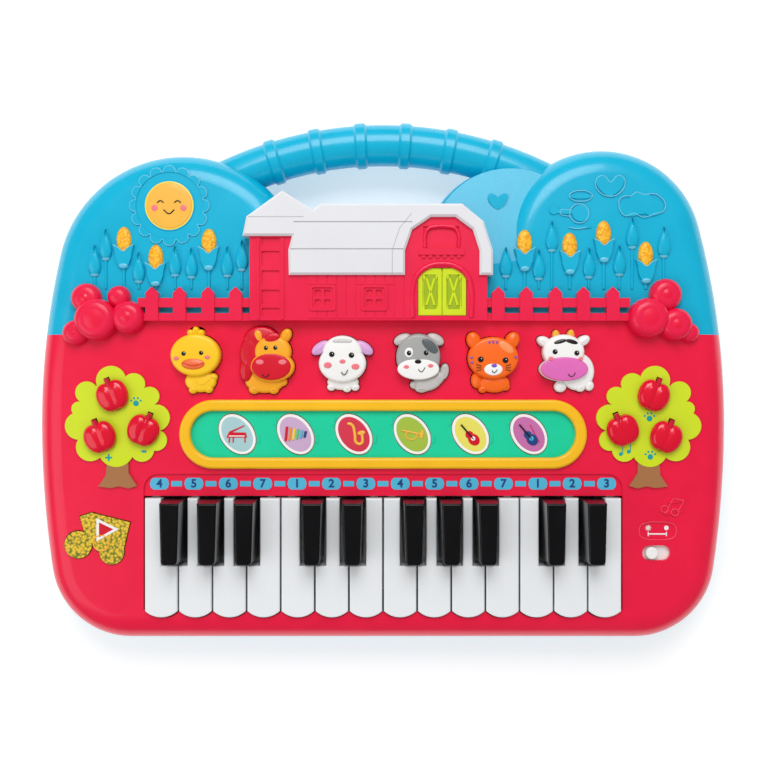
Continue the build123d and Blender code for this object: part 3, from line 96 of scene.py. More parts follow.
def kernels(name, light, dark):
    """Small bumps with darker joints, as on a corn cob or a cast, glittering plastic."""
    material = plastic(name, light, 0.28)
    nodes = material.node_tree.nodes
    links = material.node_tree.links
    cells = nodes.new("ShaderNodeTexVoronoi")
    cells.inputs["Scale"].default_value = 620
    links.new(nodes["Texture Coordinate"].outputs["Object"], cells.inputs["Vector"])
    joints = nodes.new("ShaderNodeValToRGB")
    joints.color_ramp.elements[0].position = 0.35
    joints.color_ramp.elements[0].color = (*light, 1)
    joints.color_ramp.elements[1].position = 0.75
    joints.color_ramp.elements[1].color = (*dark, 1)
    links.new(cells.outputs["Distance"], joints.inputs["Fac"])
    links.new(joints.outputs["Color"], nodes["Principled BSDF"].inputs["Base Color"])
    relief = nodes.new("ShaderNodeBump")
    relief.inputs["Strength"].default_value = 0.9
    relief.inputs["Distance"].default_value = 0.0005
    relief.invert = True
    links.new(cells.outputs["Distance"], relief.inputs["Height"])
    links.new(relief.outputs["Normal"], nodes["Principled BSDF"].inputs["Normal"])
    return material


def split_by_y(name, low_colour, high_colour, y):
    """Printed plate with one colour below a line and another above it."""
    material = plastic(name, high_colour, 0.4)
    nodes = material.node_tree.nodes
    links = material.node_tree.links
    split = nodes.new("ShaderNodeSeparateXYZ")
    links.new(nodes["Texture Coordinate"].outputs["Object"], split.inputs["Vector"])
    below = nodes.new("ShaderNodeMath")
    below.operation = "LESS_THAN"
    below.inputs[1].default_value = y * MM
    links.new(split.outputs["Y"], below.inputs[0])
    mix = nodes.new("ShaderNodeMixRGB")
    links.new(below.outputs["Value"], mix.inputs["Fac"])
    links.new(nodes["Color Ramp"].outputs["Color"], mix.inputs["Color1"])
    mix.inputs["Color2"].default_value = (*low_colour, 1)
    links.new(mix.outputs["Color"], nodes["Principled BSDF"].inputs["Base Color"])
    return material


RED = plastic("red_shell", (0.90, 0.004, 0.052), 0.3)
SKY = plastic("sky_shell", (0.0, 0.46, 0.70), 0.27)
SKY_PALE = plastic("sky_pale", (0.16, 0.60, 0.80), 0.3)
BARN_RED = plastic("barn_red", (0.88, 0.004, 0.06), 0.34)
ROOF_WHITE = plastic("roof_white", (0.77, 0.77, 0.80), 0.3, 0.02)
# Grey for lines of painted shade along the grooves of the white roof.
ROOF_SHADE_LINE = plastic("roof_line", (0.50, 0.50, 0.54), 0.35)
# Darker lime for painted shade in the sunk door panels.
LIME_PANEL_SHADE = plastic("deep_lime", (0.36, 0.50, 0.005), 0.35)
LIME = plastic("lime_doors", (0.66, 0.80, 0.01), 0.3)
CROWN = split_by_y("tree_print", (0.40, 0.17, 0.06), (0.66, 0.80, 0.012), -46.5)
YELLOW = plastic("yellow_bezel", (0.98, 0.53, 0.008), 0.3)
TEAL = plastic("teal_sheet", (0.0, 0.66, 0.36), 0.4)
WHITE = plastic("white_key", (0.86, 0.88, 0.90), 0.2, 0.02, 0.02)
BLACK = plastic("black_key", (0.006, 0.006, 0.007), 0.2, 0.3, 0.02, 0.12)
BLACK.node_tree.nodes["Principled BSDF"].inputs["Specular IOR Level"].default_value = 0.3
APPLE = plastic("apple_red", (0.80, 0.002, 0.028), 0.2, 0.1, 0.03, 0.6)
STEM_RED = plastic("apple_stem", (0.62, 0.002, 0.03), 0.3)
RED_PALE = plastic("red_outline", (0.98, 0.08, 0.14), 0.3)
GOLD = kernels("note_gold", (0.90, 0.58, 0.03), (0.16, 0.20, 0.02))
CORN = kernels("corn_orange", (1.0, 0.55, 0.02), (0.90, 0.36, 0.01))
DARK = plastic("paint_dark", (0.012, 0.01, 0.01), 0.3)
PALE = plastic("paint_white", (0.93, 0.92, 0.90), 0.32)
CHEEK = plastic("paint_cheek", (0.90, 0.20, 0.24), 0.4)
DUCK_YELLOW = plastic("duck_yellow", (1.0, 0.60, 0.012), 0.3)
BEAK = plastic("duck_beak", (0.90, 0.16, 0.04), 0.3)
HORSE_ORANGE = plastic("horse_orange", (0.98, 0.42, 0.015), 0.3)
CAT_ORANGE = plastic("cat_orange", (1.0, 0.15, 0.006), 0.3)
PEACH = plastic("cat_patch", (1.0, 0.32, 0.11), 0.3)
CRIMSON = plastic("paint_crimson", (0.70, 0.002, 0.02), 0.3)
GREY = plastic("paint_grey", (0.39, 0.39, 0.38), 0.35)
PALE_GREY = plastic("paint_pale_grey", (0.60, 0.58, 0.56), 0.35)
SLATE = plastic("paint_slate", (0.11, 0.13, 0.135), 0.35)
LILAC = plastic("paint_lilac", (0.76, 0.42, 0.76), 0.35)
MAUVE = plastic("cow_muzzle", (0.78, 0.15, 0.50), 0.35)
VIOLET = plastic("print_violet", (0.20, 0.10, 0.52), 0.4)
SUN_YELLOW = plastic("paint_yellow", (1.0, 0.72, 0.06), 0.3)
LEAF = plastic("print_green", (0.0, 0.38, 0.38), 0.4)
TAB_BLUE = plastic("print_blue", (0.08, 0.50, 0.74), 0.4)
NAVY = plastic("print_navy", (0.01, 0.06, 0.24), 0.4)
BRASSY = plastic("print_gold", (0.95, 0.50, 0.06), 0.35)
ORANGE = plastic("paint_orange", (1.0, 0.30, 0.02), 0.3)
GRASS = plastic("print_grass", (0.10, 0.62, 0.22), 0.4)
FAINT = plastic("print_faint", (0.0, 0.58, 0.33), 0.4)
ICE = plastic("pad_ice", (0.40, 0.63, 0.66), 0.4)
PLUM = plastic("pad_plum", (0.62, 0.42, 0.64), 0.4)
ROSE = plastic("pad_rose", (0.70, 0.03, 0.07), 0.4)
OLIVE = plastic("pad_olive", (0.38, 0.54, 0.05), 0.4)
LEMON = plastic("pad_lemon", (0.84, 0.76, 0.12), 0.4)
ORCHID = plastic("pad_orchid", (0.60, 0.16, 0.42), 0.4)
STEEL = plastic("steel", (0.55, 0.56, 0.58), 0.3)
STEEL.node_tree.nodes["Principled BSDF"].inputs["Metallic"].default_value = 1.0
BOARD = plastic("board_green", (0.03, 0.22, 0.08), 0.4)
RUBBER = plastic("dome_rubber", (0.72, 0.73, 0.71), 0.6)

FINISH = {
    "front_cover": RED, "sky_cover": SKY, "rear_cover": SKY, "battery_door": SKY, "barn_front": BARN_RED,
    "barn_roof": ROOF_WHITE, "barn_doors": LIME, "tree_plates": CROWN, "panel_bezel": YELLOW,
    "panel_overlay": TEAL, "key_pivot_rod": STEEL, "circuit_board": BOARD, "contact_pads": RUBBER,
    "speaker": SLATE, "battery_contacts": STEEL, "screws": STEEL, "note_button": GOLD,
    "power_switch_knob": PALE,
}
INSTRUMENTS = ("piano", "xylophone", "saxophone", "trumpet", "guitar", "violin")

for name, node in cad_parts.items():
    finish = FINISH.get(name)
    if name.startswith("white_key"):
        finish = WHITE
    elif name.startswith("black_key"):
        finish = BLACK
    elif name.startswith("apple"):
        finish = APPLE
    elif name.replace("_button", "") in INSTRUMENTS:
        finish = PALE
    if finish:
        node.data.materials.clear()
        node.data.materials.append(finish)


# ---------------------------------------------------------------- shapes, in millimetres
ROUND_TURNS = (0, 0.8, 1.6, 2.4, 3.1, 3.9, 4.7, 5.5)


def place_mesh(name, points, faces, material, body, smooth=True):
    """Makes a mesh piece that rides on a body."""
    mesh = bpy.data.meshes.new(name)
    mesh.from_pydata([(x * MM, y * MM, z * MM) for x, y, z in points], [], faces)
    mesh.materials.append(material)
    for face in mesh.polygons:
        face.use_smooth = smooth
    piece = bpy.data.objects.new(name, mesh)
    bpy.context.collection.objects.link(piece)
    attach(piece, body)
    return piece


def pebble(name, oval, low, high, edge, crown, material, body, around=40):
    """Oval button with a rolled edge and a slightly domed top."""
    x, y, half_width, half_depth, lean = oval
    turn = math.radians(lean)
    edge = min(edge, 0.9 * min(half_width, half_depth), high - crown - low)
    rings = [(0, low)]
    for step in range(6):
        angle = math.radians(90 * step / 5)
        rings.append((edge * (1 - math.cos(angle)), high - edge - crown + edge * math.sin(angle)))
    inner = min(half_width, half_depth) - edge
    for share in (0.35, 0.65, 0.85):
        rings.append((edge + inner * share, high - crown * (1 - share) ** 2))
    points = []
    for inset, z in rings:
        for step in range(around):
            angle = 2 * math.pi * step / around
            u = (half_width - inset) * math.cos(angle)
            v = (half_depth - inset) * math.sin(angle)
            points.append((x + u * math.cos(turn) - v * math.sin(turn),
                           y + u * math.sin(turn) + v * math.cos(turn), z))
    faces = []
    for ring in range(len(rings) - 1):
        for step in range(around):
            after = (step + 1) % around
            faces.append((ring * around + step, ring * around + after, (ring + 1) * around + after,
                          (ring + 1) * around + step))
    last = (len(rings) - 1) * around
    faces.append(tuple(range(last, last + around)))
    return place_mesh(name, points, faces, material, body)


def domed(name, outline, low, high, material, body):
    """A cushion with the given outline, rounded towards its middle."""
    count = len(outline)
    middle_x = sum(x for x, _ in outline) / count
    middle_y = sum(y for _, y in outline) / count
    points = []
    for share, rise in ((1.0, 0.0), (1.0, 0.45), (0.9, 0.72), (0.7, 0.9), (0.35, 1.0)):
        for x, y in outline:
            points.append((middle_x + (x - middle_x) * share, middle_y + (y - middle_y) * share,
                           low + (high - low) * rise))
    faces = []
    for ring in range(4):
        for step in range(count):
            after = (step + 1) % count
            faces.append((ring * count + step, ring * count + after, (ring + 1) * count + after,
                          (ring + 1) * count + step))
    faces.append(tuple(range(4 * count, 5 * count)))
    return place_mesh(name, points, faces, material, body)


def mirrored(half):
    """Closed outline from its right half, listed from the top down."""
    return [(-x, y) for x, y in reversed(half)] + [(x, y) for x, y in half]


def dot(name, x, y, z, radius, material, body, tall=0.35):
    """Small round bead of paint."""
    return pebble(name, (x, y, radius, radius, 0), z - 0.3, z + tall, radius * 0.6, 0.05, material, body,
                  20)


def flat_piece(name, outline, low, high, material, body):
    """A flat piece with the given outline."""
    count = len(outline)
    points = [(x, y, low) for x, y in outline] + [(x, y, high) for x, y in outline]
    faces = [(i, (i + 1) % count, count + (i + 1) % count, count + i) for i in range(count)]
    faces.append(tuple(range(count, 2 * count)))
    return place_mesh(name, points, faces, material, body, False)


def stroke(name, points, width, z, material, body, closed=False):
    """A rounded line laid on a surface."""
    curve = bpy.data.curves.new(name, "CURVE")
    curve.dimensions = "3D"
    curve.bevel_depth = width * MM / 2
    curve.bevel_resolution = 3
    curve.use_fill_caps = True
    spline = curve.splines.new("BEZIER")
    spline.bezier_points.add(len(points) - 1)
    for handle, (x, y) in zip(spline.bezier_points, points):
        handle.co = (x * MM, y * MM, z * MM)
        handle.handle_left_type = "AUTO"
        handle.handle_right_type = "AUTO"
    spline.use_cyclic_u = closed
    curve.materials.append(material)
    piece = bpy.data.objects.new(name, curve)
    bpy.context.collection.objects.link(piece)
    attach(piece, body)
    return piece


def sign(name, text, x, y, z, size, material, body):
    """Flat printed sign, such as a digit."""
    font = bpy.data.curves.new(name, "FONT")
    font.body = text
    font.size = size * MM
    font.align_x = "CENTER"
    font.align_y = "CENTER"
    font.extrude = 0.06 * MM
    font.offset = 0.2 * MM
    font.materials.append(material)
    piece = bpy.data.objects.new(name, font)
    piece.location = (x * MM, y * MM, z * MM)
    bpy.context.collection.objects.link(piece)
    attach(piece, body)
    return piece


def bow(first, middle, last):
    """Points of a smooth bend through three points."""
    bend = []
    for step in range(7):
        share = step / 6
        weights = (1 - share) * (1 - 2 * share), 4 * share * (1 - share), share * (2 * share - 1)
        bend.append((weights[0] * first[0] + weights[1] * middle[0] + weights[2] * last[0],
                     weights[0] * first[1] + weights[1] * middle[1] + weights[2] * last[1]))
    return bend


def round_outline(x, y, half_width, half_depth):
    """Eight points round an oval, for a closed stroke."""
    return [(x + half_width * math.cos(turn), y + half_depth * math.sin(turn)) for turn in ROUND_TURNS]


def centre_of(node):
    """Middle of a node's box in millimetres, with its top height."""
    low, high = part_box(node)
    return (low[0] + high[0]) / 2 / MM, (low[1] + high[1]) / 2 / MM, high[2] / MM


# ---------------------------------------------------------------- animals
HEAD, LIMB, BODY, SEAT = 49.5, 48.0, 46.5, 40.5
PAINT = 0.35
ANIMAL_Y = 9.4
# Colour, oval about the animal's centre (x, y, half width, half depth, lean) and top height.
ANIMALS = {
    "duck": (-104.0, (
        (DUCK_YELLOW, (2.4, -11.0, 8.7, 6.2, 0), BODY), (DUCK_YELLOW, (-1.8, -15.8, 2.4, 2.2, 0), BODY),
        (DUCK_YELLOW, (6.9, -15.4, 2.4, 2.2, 0), BODY), (DUCK_YELLOW, (9.0, -8.8, 2.8, 2.4, 0), BODY),
        (DUCK_YELLOW, (0.0, 17.0, 1.9, 2.4, 0), LIMB), (DUCK_YELLOW, (-2.9, 15.8, 1.9, 2.0, 30), LIMB),
        (DUCK_YELLOW, (2.9, 15.8, 1.9, 2.0, -30), LIMB), (DUCK_YELLOW, (0.0, 3.5, 13.8, 11.8, 0), HEAD),
    )),
    "horse": (-64.5, (
        (HORSE_ORANGE, (-1.3, -10.6, 11.2, 7.0, 0), BODY), (HORSE_ORANGE, (-7.2, -15.2, 3.2, 3.0, 0), BODY),
        (HORSE_ORANGE, (3.6, -15.4, 3.0, 2.8, 0), BODY), (HORSE_ORANGE, (8.2, -11.3, 3.0, 2.6, 0), BODY),
        (CRIMSON, (-11.6, -4.6, 3.8, 6.6, 0), LIMB), (CRIMSON, (-8.6, 4.6, 6.6, 10.0, 0), LIMB),
        (CRIMSON, (-3.2, 12.4, 9.8, 7.2, 0), LIMB), (HORSE_ORANGE, (-4.4, 14.0, 3.0, 4.0, 20), LIMB + 0.6),
        (HORSE_ORANGE, (10.4, 14.2, 3.0, 4.4, -30), LIMB), (HORSE_ORANGE, (3.5, 5.4, 10.1, 9.0, 0), HEAD),
        (HORSE_ORANGE, (3.2, -2.9, 12.2, 8.6, 0), HEAD), (CRIMSON, (2.7, -3.0, 10.9, 7.4, 0), HEAD + 0.5),
        (CRIMSON, (3.2, 13.2, 4.4, 2.6, 12), HEAD + 0.1),
    )),
    "sheep": (-22.5, (
        (PALE, (0.2, -11.4, 8.8, 4.6, 0), BODY), (PALE, (-6.3, -14.2, 2.4, 2.2, 0), BODY),
        (PALE, (2.4, -14.8, 2.6, 2.4, 0), BODY), (PALE, (7.0, -14.2, 2.4, 2.2, 0), BODY),
        (LILAC, (-12.2, 7.6, 5.8, 3.1, 35), LIMB), (LILAC, (12.0, 7.6, 5.8, 3.1, -35), LIMB),
        (PALE, (0.0, 5.0, 11.0, 9.4, 0), HEAD), (PALE, (0.0, -1.2, 13.2, 10.6, 0), HEAD),
        (PALE_GREY, (0.0, 11.0, 5.8, 2.0, 0), HEAD - 0.1),
    )),
    "dog": (20.5, (
        (PALE_GREY, (3.8, -11.8, 8.4, 4.8, 12), BODY), (PALE_GREY, (9.4, -9.6, 5.0, 3.6, 40), BODY),
        (PALE_GREY, (13.6, -5.6, 2.6, 4.6, -10), BODY), (PALE_GREY, (-3.0, -13.0, 2.6, 2.4, 0), BODY + 0.3),
        (PALE_GREY, (1.0, -15.4, 3.6, 2.0, 0), BODY), (PALE_GREY, (-9.6, 12.2, 5.2, 3.2, 20), LIMB),
        (PALE_GREY, (8.5, 12.2, 5.2, 3.2, -25), LIMB), (GREY, (-1.0, 2.5, 12.3, 13.0, 0), HEAD),
        (PALE, (-1.0, -4.2, 11.6, 6.0, 0), HEAD + 0.2), (SLATE, (5.2, 8.4, 5.6, 3.0, -42), HEAD + 0.1),
        (PALE, (-5.9, 4.8, 3.0, 3.2, 0), HEAD + 0.1),
    )),
    "cat": (61.0, (
        (CAT_ORANGE, (1.0, -12.0, 8.6, 5.4, 0), BODY), (CAT_ORANGE, (-8.8, -10.4, 3.2, 4.6, 0), BODY),
        (CAT_ORANGE, (-5.6, -15.4, 2.4, 2.2, 0), BODY), (CAT_ORANGE, (7.2, -14.0, 2.6, 2.4, 0), BODY),
        (CAT_ORANGE, (-10.6, 11.6, 3.9, 5.0, 20), LIMB), (CAT_ORANGE, (10.8, 11.6, 3.9, 5.0, -20), LIMB),
        (CAT_ORANGE, (0.0, 1.9, 14.0, 11.8, 0), HEAD), (PEACH, (7.0, 7.8, 5.0, 2.5, -38), HEAD + 0.1),
        (PALE, (-0.1, -4.3, 5.3, 3.6, 0), HEAD + 0.2),
    )),
    "cow": (101.8, (
        (PALE, (6.4, -5.6, 9.4, 10.6, 0), BODY), (PALE, (-3.1, -14.0, 3.4, 3.2, 0), BODY),
        (PALE, (8.0, -14.4, 2.8, 2.6, 0), BODY), (PALE, (13.0, -13.4, 2.6, 3.0, 0), BODY),
        (BRASSY, (-5.6, 14.2, 2.0, 3.4, 6), LIMB), (BRASSY, (2.4, 14.4, 2.0, 3.4, -6), LIMB),
        (PALE, (-12.2, 11.0, 4.2, 2.8, -28), LIMB), (PALE, (9.2, 11.4, 4.2, 2.8, 32), LIMB),
        (PALE, (-1.8, 5.4, 11.5, 9.6, 0), HEAD), (PALE, (-1.6, -4.2, 13.4, 7.0, 0), HEAD),
        (MAUVE, (-1.6, -4.2, 13.1, 6.7, 0), HEAD + 0.5), (DARK, (-4.0, 10.8, 3.8, 1.5, 14), HEAD + 0.1),
        (DARK, (2.2, 10.8, 3.8, 1.5, -14), HEAD + 0.1),
    )),
}
# Eyes, cheeks, noses and nostrils: colour, x, y, half width, half depth.
MARKS = {
    "duck": ((DARK, -6.1, 4.3, 1.2, 1.2), (DARK, 3.6, 4.7, 1.2, 1.2), (CHEEK, -10.2, 1.7, 1.5, 1.0),
             (CHEEK, 6.9, 2.3, 1.5, 1.0)),
    "horse": ((DARK, -0.2, 7.4, 1.1, 1.2), (DARK, 5.0, 7.5, 1.1, 1.2), (CHEEK, -3.5, -0.4, 2.2, 1.4),
              (CHEEK, 9.0, -0.4, 2.2, 1.4)),
    "sheep": ((DARK, -5.8, 3.9, 1.5, 1.5), (DARK, 5.0, 3.4, 1.5, 1.5), (CHEEK, 0.1, -0.1, 1.7, 1.2),
              (CHEEK, -8.0, -2.1, 2.2, 1.6), (CHEEK, 7.2, -2.9, 2.2, 1.6)),
    "dog": ((DARK, -6.2, 4.6, 1.3, 1.4), (DARK, 3.2, 4.7, 1.3, 1.4), (DARK, -1.2, -0.2, 1.9, 1.2),
            (CHEEK, -7.6, -3.1, 1.6, 1.1), (CHEEK, 5.7, -2.5, 1.6, 1.1)),
    "cat": ((DARK, -7.1, 1.1, 1.6, 1.6), (DARK, 6.5, 0.6, 1.6, 1.6), (VIOLET, 0.3, -2.4, 1.6, 1.1),
            (VIOLET, -12.2, 2.1, 0.8, 0.6), (VIOLET, -12.0, -0.7, 0.8, 0.6), (VIOLET, 12.2, 2.4, 0.8, 0.6)),
    "cow": ((DARK, -6.9, 5.3, 1.4, 1.4), (DARK, 5.1, 4.6, 1.4, 1.4), (CHEEK, -9.2, 1.4, 1.3, 1.2),
            (CHEEK, 7.3, 1.4, 1.2, 1.1)),
}
SMILES = {
    "horse": ((-2.2, -7.1), (-0.2, -8.6), (1.6, -6.9)), "sheep": ((-0.5, -5.9), (1.2, -7.4), (3.0, -4.7)),
    "dog": ((-1.0, -4.3), (0.7, -5.8), (2.6, -3.4)), "cat": ((-1.0, -5.0), (0.3, -6.2), (2.0, -4.6)),
    "cow": ((0.2, -7.1), (2.3, -8.4), (4.2, -6.2)),
}

RAISED_FACES = ("horse", "cow")
for name, (centre, shapes) in ANIMALS.items():
    body = f"{name}_button"
    for index, (colour, oval, top) in enumerate(shapes):
        x, y, half_width, half_depth, lean = oval
        place = (centre + x, ANIMAL_Y + y, half_width, half_depth, lean)
        painted = top > HEAD - 0.2 and top != HEAD
        if painted:
            low, edge, crown = HEAD - 1.6, 0.9, 0.2
        else:
            low, edge, crown = SEAT, 2.0, 0.5
        part = pebble(f"{name}_{index}", place, low, top, edge, crown, colour, body)
        if index == 0:
            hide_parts(body)
    for index, (colour, x, y, half_width, half_depth) in enumerate(MARKS[name]):
        raised = 0.35 if name in RAISED_FACES and y < 2 else 0.0
        spot = (centre + x, ANIMAL_Y + y, half_width, half_depth, 0)
        pebble(f"{name}_mark_{index}", spot, HEAD - 0.8, HEAD + PAINT + raised, 0.3, 0.05, colour, body,
               20)
        if colour is DARK and y > 0:
            dot(f"{name}_glint_{index}", centre + x + 0.4, ANIMAL_Y + y + 0.4, HEAD + PAINT, 0.32, PALE,
                body, 0.1)
    if name in SMILES:
        line = bow(*[(centre + x, ANIMAL_Y + y) for x, y in SMILES[name]])
        top = HEAD + 0.6 if name in RAISED_FACES else HEAD + 0.25
        stroke(f"{name}_smile", line, 0.45, top, DARK, body)

pebble("duck_beak", (-104.9, ANIMAL_Y - 1.4, 6.7, 3.3, 0), HEAD - 1, HEAD + 0.8, 1.6, 0.4, BEAK,
       "duck_button")
stroke("duck_beak_line", [(-110.6, 8.6), (-104.9, 7.0), (-99.2, 8.6)], 0.4, HEAD + 0.7, CRIMSON,
       "duck_button")
stroke("duck_wing", [(-104.6, -1.2), (-100.4, -3.4), (-96.2, -0.6)], 0.4, BODY - 0.05, BRASSY,
       "duck_button")
CAT_X = ANIMALS["cat"][0]
for side in (-1, 1):
    for row in (0, 1, 2):
        start = (CAT_X + side * 6.6, ANIMAL_Y - 2.6 - 1.0 * row)
        end = (CAT_X + side * 9.6, ANIMAL_Y - 1.7 - 1.7 * row)
        stroke(f"cat_whisker_{side + 1}_{row}", [start, end], 0.35, HEAD - 0.05, DARK, "cat_button")
for row in (-1, 0, 1):
    line = [(60.8 + 2.1 * row, ANIMAL_Y + 11.4 - abs(row) * 0.3), (60.8 + 2.1 * row, ANIMAL_Y + 9.8)]
    stroke(f"cat_stripe_{row + 1}", line, 1.1, HEAD - 0.5, VIOLET, "cat_button")

# ---------------------------------------------------------------- apples
APPLE_RADIUS = 7.9
APPLE_SKIRT_Z = 45.3
APPLE_LOBE = (6.3, 8.3)
APPLE_PLACES = ((-150.4, -9.7, 22), (-157.3, -32.7, 22), (-133.5, -29.0, -22))
for index in range(6):
    body = f"apple_button_{index + 1}"
    side = 1 if index < 3 else -1
    x, y, lean = APPLE_PLACES[index % 3]
    x, lean = x * side, lean * side
    top = centre_of(body)[2]
    waist = (x, y, APPLE_RADIUS, APPLE_RADIUS - 0.3, 0)
    shaft = pebble(f"{body}_shaft", waist, 41.0, APPLE_SKIRT_Z + 1, 0.4, 0.1, APPLE, body)
    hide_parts(body)
    turn = math.radians(lean)
    for lobe in (-1, 1):
        oval = (x + lobe * 2.6 * math.cos(turn), y + lobe * 2.6 * math.sin(turn), *APPLE_LOBE,
                lean - lobe * 7)
        pebble(f"{body}_lobe_{lobe + 1}", oval, APPLE_SKIRT_Z, top + 0.3, 3.9, 0.5, APPLE, body, 48)
    core = (x, y, 4.4, APPLE_LOBE[1], lean)
    pebble(f"{body}_core", core, APPLE_SKIRT_Z, top - 0.3, 3.6, 0.3, APPLE, body, 48)
    line = [(x - math.sin(turn) * reach + 0.6 * side, y + math.cos(turn) * reach - 0.1)
            for reach in (4.6, 7.6, 10.3)]
    stroke(f"{body}_stem", line, 2.9, top - 2.0, STEM_RED, body)

# ---------------------------------------------------------------- printed oval pads
PANEL_Y = -31.2
PAD_PITCH = 32.6
PAD_TILT = 127
GROUNDS = (ICE, PLUM, ROSE, OLIVE, LEMON, ORCHID)
BARS = (CRIMSON, ORANGE, SUN_YELLOW, GRASS, TAB_BLUE, NAVY)


def piano(x, y, z, body):
    """Raised lid, case, keys and three legs."""
    lid = [(x - 4.6, y + 1.4), (x + 3.8, y + 5.0), (x + 4.2, y + 4.6), (x - 3.6, y + 0.6)]
    flat_piece("piano_lid", lid, z - 0.2, z + 0.3, CRIMSON, body)
    case = [(x - 6, y - 1.8), (x + 5.6, y - 1.8), (x + 4.8, y + 1.0), (x - 4.6, y + 1.0)]
    flat_piece("piano_case", case, z - 0.2, z + 0.25, CRIMSON, body)
    stroke("piano_keys", [(x - 4.6, y - 1.0), (x + 4.2, y - 1.0)], 0.7, z + 0.15, PALE, body)
    for leg in (-4.4, -2.2, 4.4):
        line = [(x + leg, y - 1.8), (x + leg, y - 4.6)]
        stroke(f"piano_leg_{int(leg + 5)}", line, 0.8, z, CRIMSON, body)


def xylophone(x, y, z, body):
    """A row of bars that get shorter."""
    for bar, colour in enumerate(BARS):
        left = x - 5.5 + 2.1 * bar
        line = [(left, y - 3.8 + 0.4 * bar), (left + 0.8, y + 4.2 - 0.5 * bar)]
        stroke(f"xylophone_bar_{bar}", line, 1.5, z, colour, body)


def saxophone(x, y, z, body):
    """Bent tube with its bell."""
    tube = [(x - 3.6, y + 6), (x - 1.2, y + 5.4), (x + 0.6, y), (x + 1.4, y - 4.6), (x + 4.0, y - 5.2),
            (x + 4.8, y - 1.6), (x + 4.2, y + 0.8)]
    stroke("saxophone_tube", tube, 1.7, z, BRASSY, body)
    pebble("saxophone_bell", (x + 4.2, y + 0.8, 2.2, 1.2, 10), z - 0.2, z + 0.6, 0.4, 0.1, BRASSY, body)


def trumpet(x, y, z, body):
    """Straight tube, loop and bell."""
    tube = [(x - 6, y + 2.2), (x, y + 1.0), (x + 4.4, y + 0.2)]
    stroke("trumpet_tube", tube, 1.0, z, BRASSY, body)
    loop = [(x - 3, y + 1.6), (x - 3.2, y - 1.6), (x + 1.6, y - 2.4), (x + 2.6, y + 0.6)]
    stroke("trumpet_loop", loop, 0.8, z, BRASSY, body)
    pebble("trumpet_bell", (x + 5.4, y, 1.0, 2.6, -10), z - 0.2, z + 0.5, 0.4, 0.1, BRASSY, body)


def strings(name, x, y, z, wood, plate, body):
    """Two rounded halves of a guitar or violin, with its neck and plate."""
    pebble(f"{name}_lower", (x + 1.8, y - 3.0, 3.6, 3.0, -45), z - 0.2, z + 0.45, 0.4, 0.1, wood, body)
    pebble(f"{name}_upper", (x - 0.6, y - 0.4, 2.5, 2.2, -45), z - 0.2, z + 0.4, 0.4, 0.1, wood, body)
    stroke(f"{name}_neck", [(x + 1.6, y - 2.8), (x - 5.4, y + 5.4)], 0.9, z + 0.3, DARK, body)
    dot(f"{name}_plate", x + 1.4, y - 2.4, z + 0.3, 1.4, plate, body)


def guitar(x, y, z, body):
    """Red guitar."""
    strings("guitar", x, y, z, CRIMSON, PALE, body)


def violin(x, y, z, body):
    """Dark violin with its bow."""
    strings("violin", x, y, z, NAVY, TAB_BLUE, body)
    stroke("violin_bow", [(x + 5.8, y - 4.6), (x + 0.6, y + 5.2)], 0.5, z, CRIMSON, body)


PICTURES = (piano, xylophone, saxophone, trumpet, guitar, violin)
for name, ground, picture in zip(INSTRUMENTS, GROUNDS, PICTURES):
    body = f"{name}_button"
    x, y, top = centre_of(body)
    oval = (x, y, 10.9, 7.7, PAD_TILT)
    pebble(f"{name}_ground", oval, top - 0.4, top + 0.08, 0.2, 0.05, ground, body)
    picture(x, y, top + 0.1, body)

# Faint tunes printed on the sheet between the pads.
SHEET_Z = 41.62
for index in range(5):
    x = (index - 2) * PAD_PITCH
    for side in (-1, 1):
        tag = f"{index}_{side + 1}"
        head_x = x + side * 4.6
        head_y = PANEL_Y + side * 5.0
        stem = [(head_x + 1.0, head_y), (head_x + 1.0, head_y + 4.6)]
        dot(f"sheet_note_{tag}", head_x, head_y, SHEET_Z, 1.2, FAINT, CASE, 0.04)
        stroke(f"sheet_stem_{tag}", stem, 0.4, SHEET_Z, FAINT, CASE)

# ---------------------------------------------------------------- numbers behind the keys
TAB_PITCH = 19.27
WHITE_COUNT = sum(name.startswith("white_key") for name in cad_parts)
STRIP_Z = 40.8
STRIP_Y = -59.0
STRIP_DIGITS = "45671234567123"
TAB = ((3.4, 3.3), (4.8, 2.2), (5.4, 0.0), (4.8, -2.2), (3.4, -3.3))
CORNERS = ((-1, -1), (1, -1), (1, 1), (-1, 1))
for index, digit in enumerate(STRIP_DIGITS):
    x = (index - (WHITE_COUNT - 1) / 2) * TAB_PITCH
    tab = [(x + dx, STRIP_Y + dy) for dx, dy in mirrored(TAB)]
    flat_piece(f"number_tab_{index}", tab, STRIP_Z - 0.2, STRIP_Z + 0.12, TAB_BLUE, CASE)
    sign(f"number_{index}", digit, x, STRIP_Y, STRIP_Z + 0.16, 6.4, NAVY, CASE)
    if index:
        middle = x - TAB_PITCH / 2
        bar = [(middle + dx * 3.0, STRIP_Y + dy * 1.5) for dx, dy in CORNERS]
        flat_piece(f"number_bar_{index}", bar, STRIP_Z - 0.2, STRIP_Z + 0.1, TAB_BLUE, CASE)

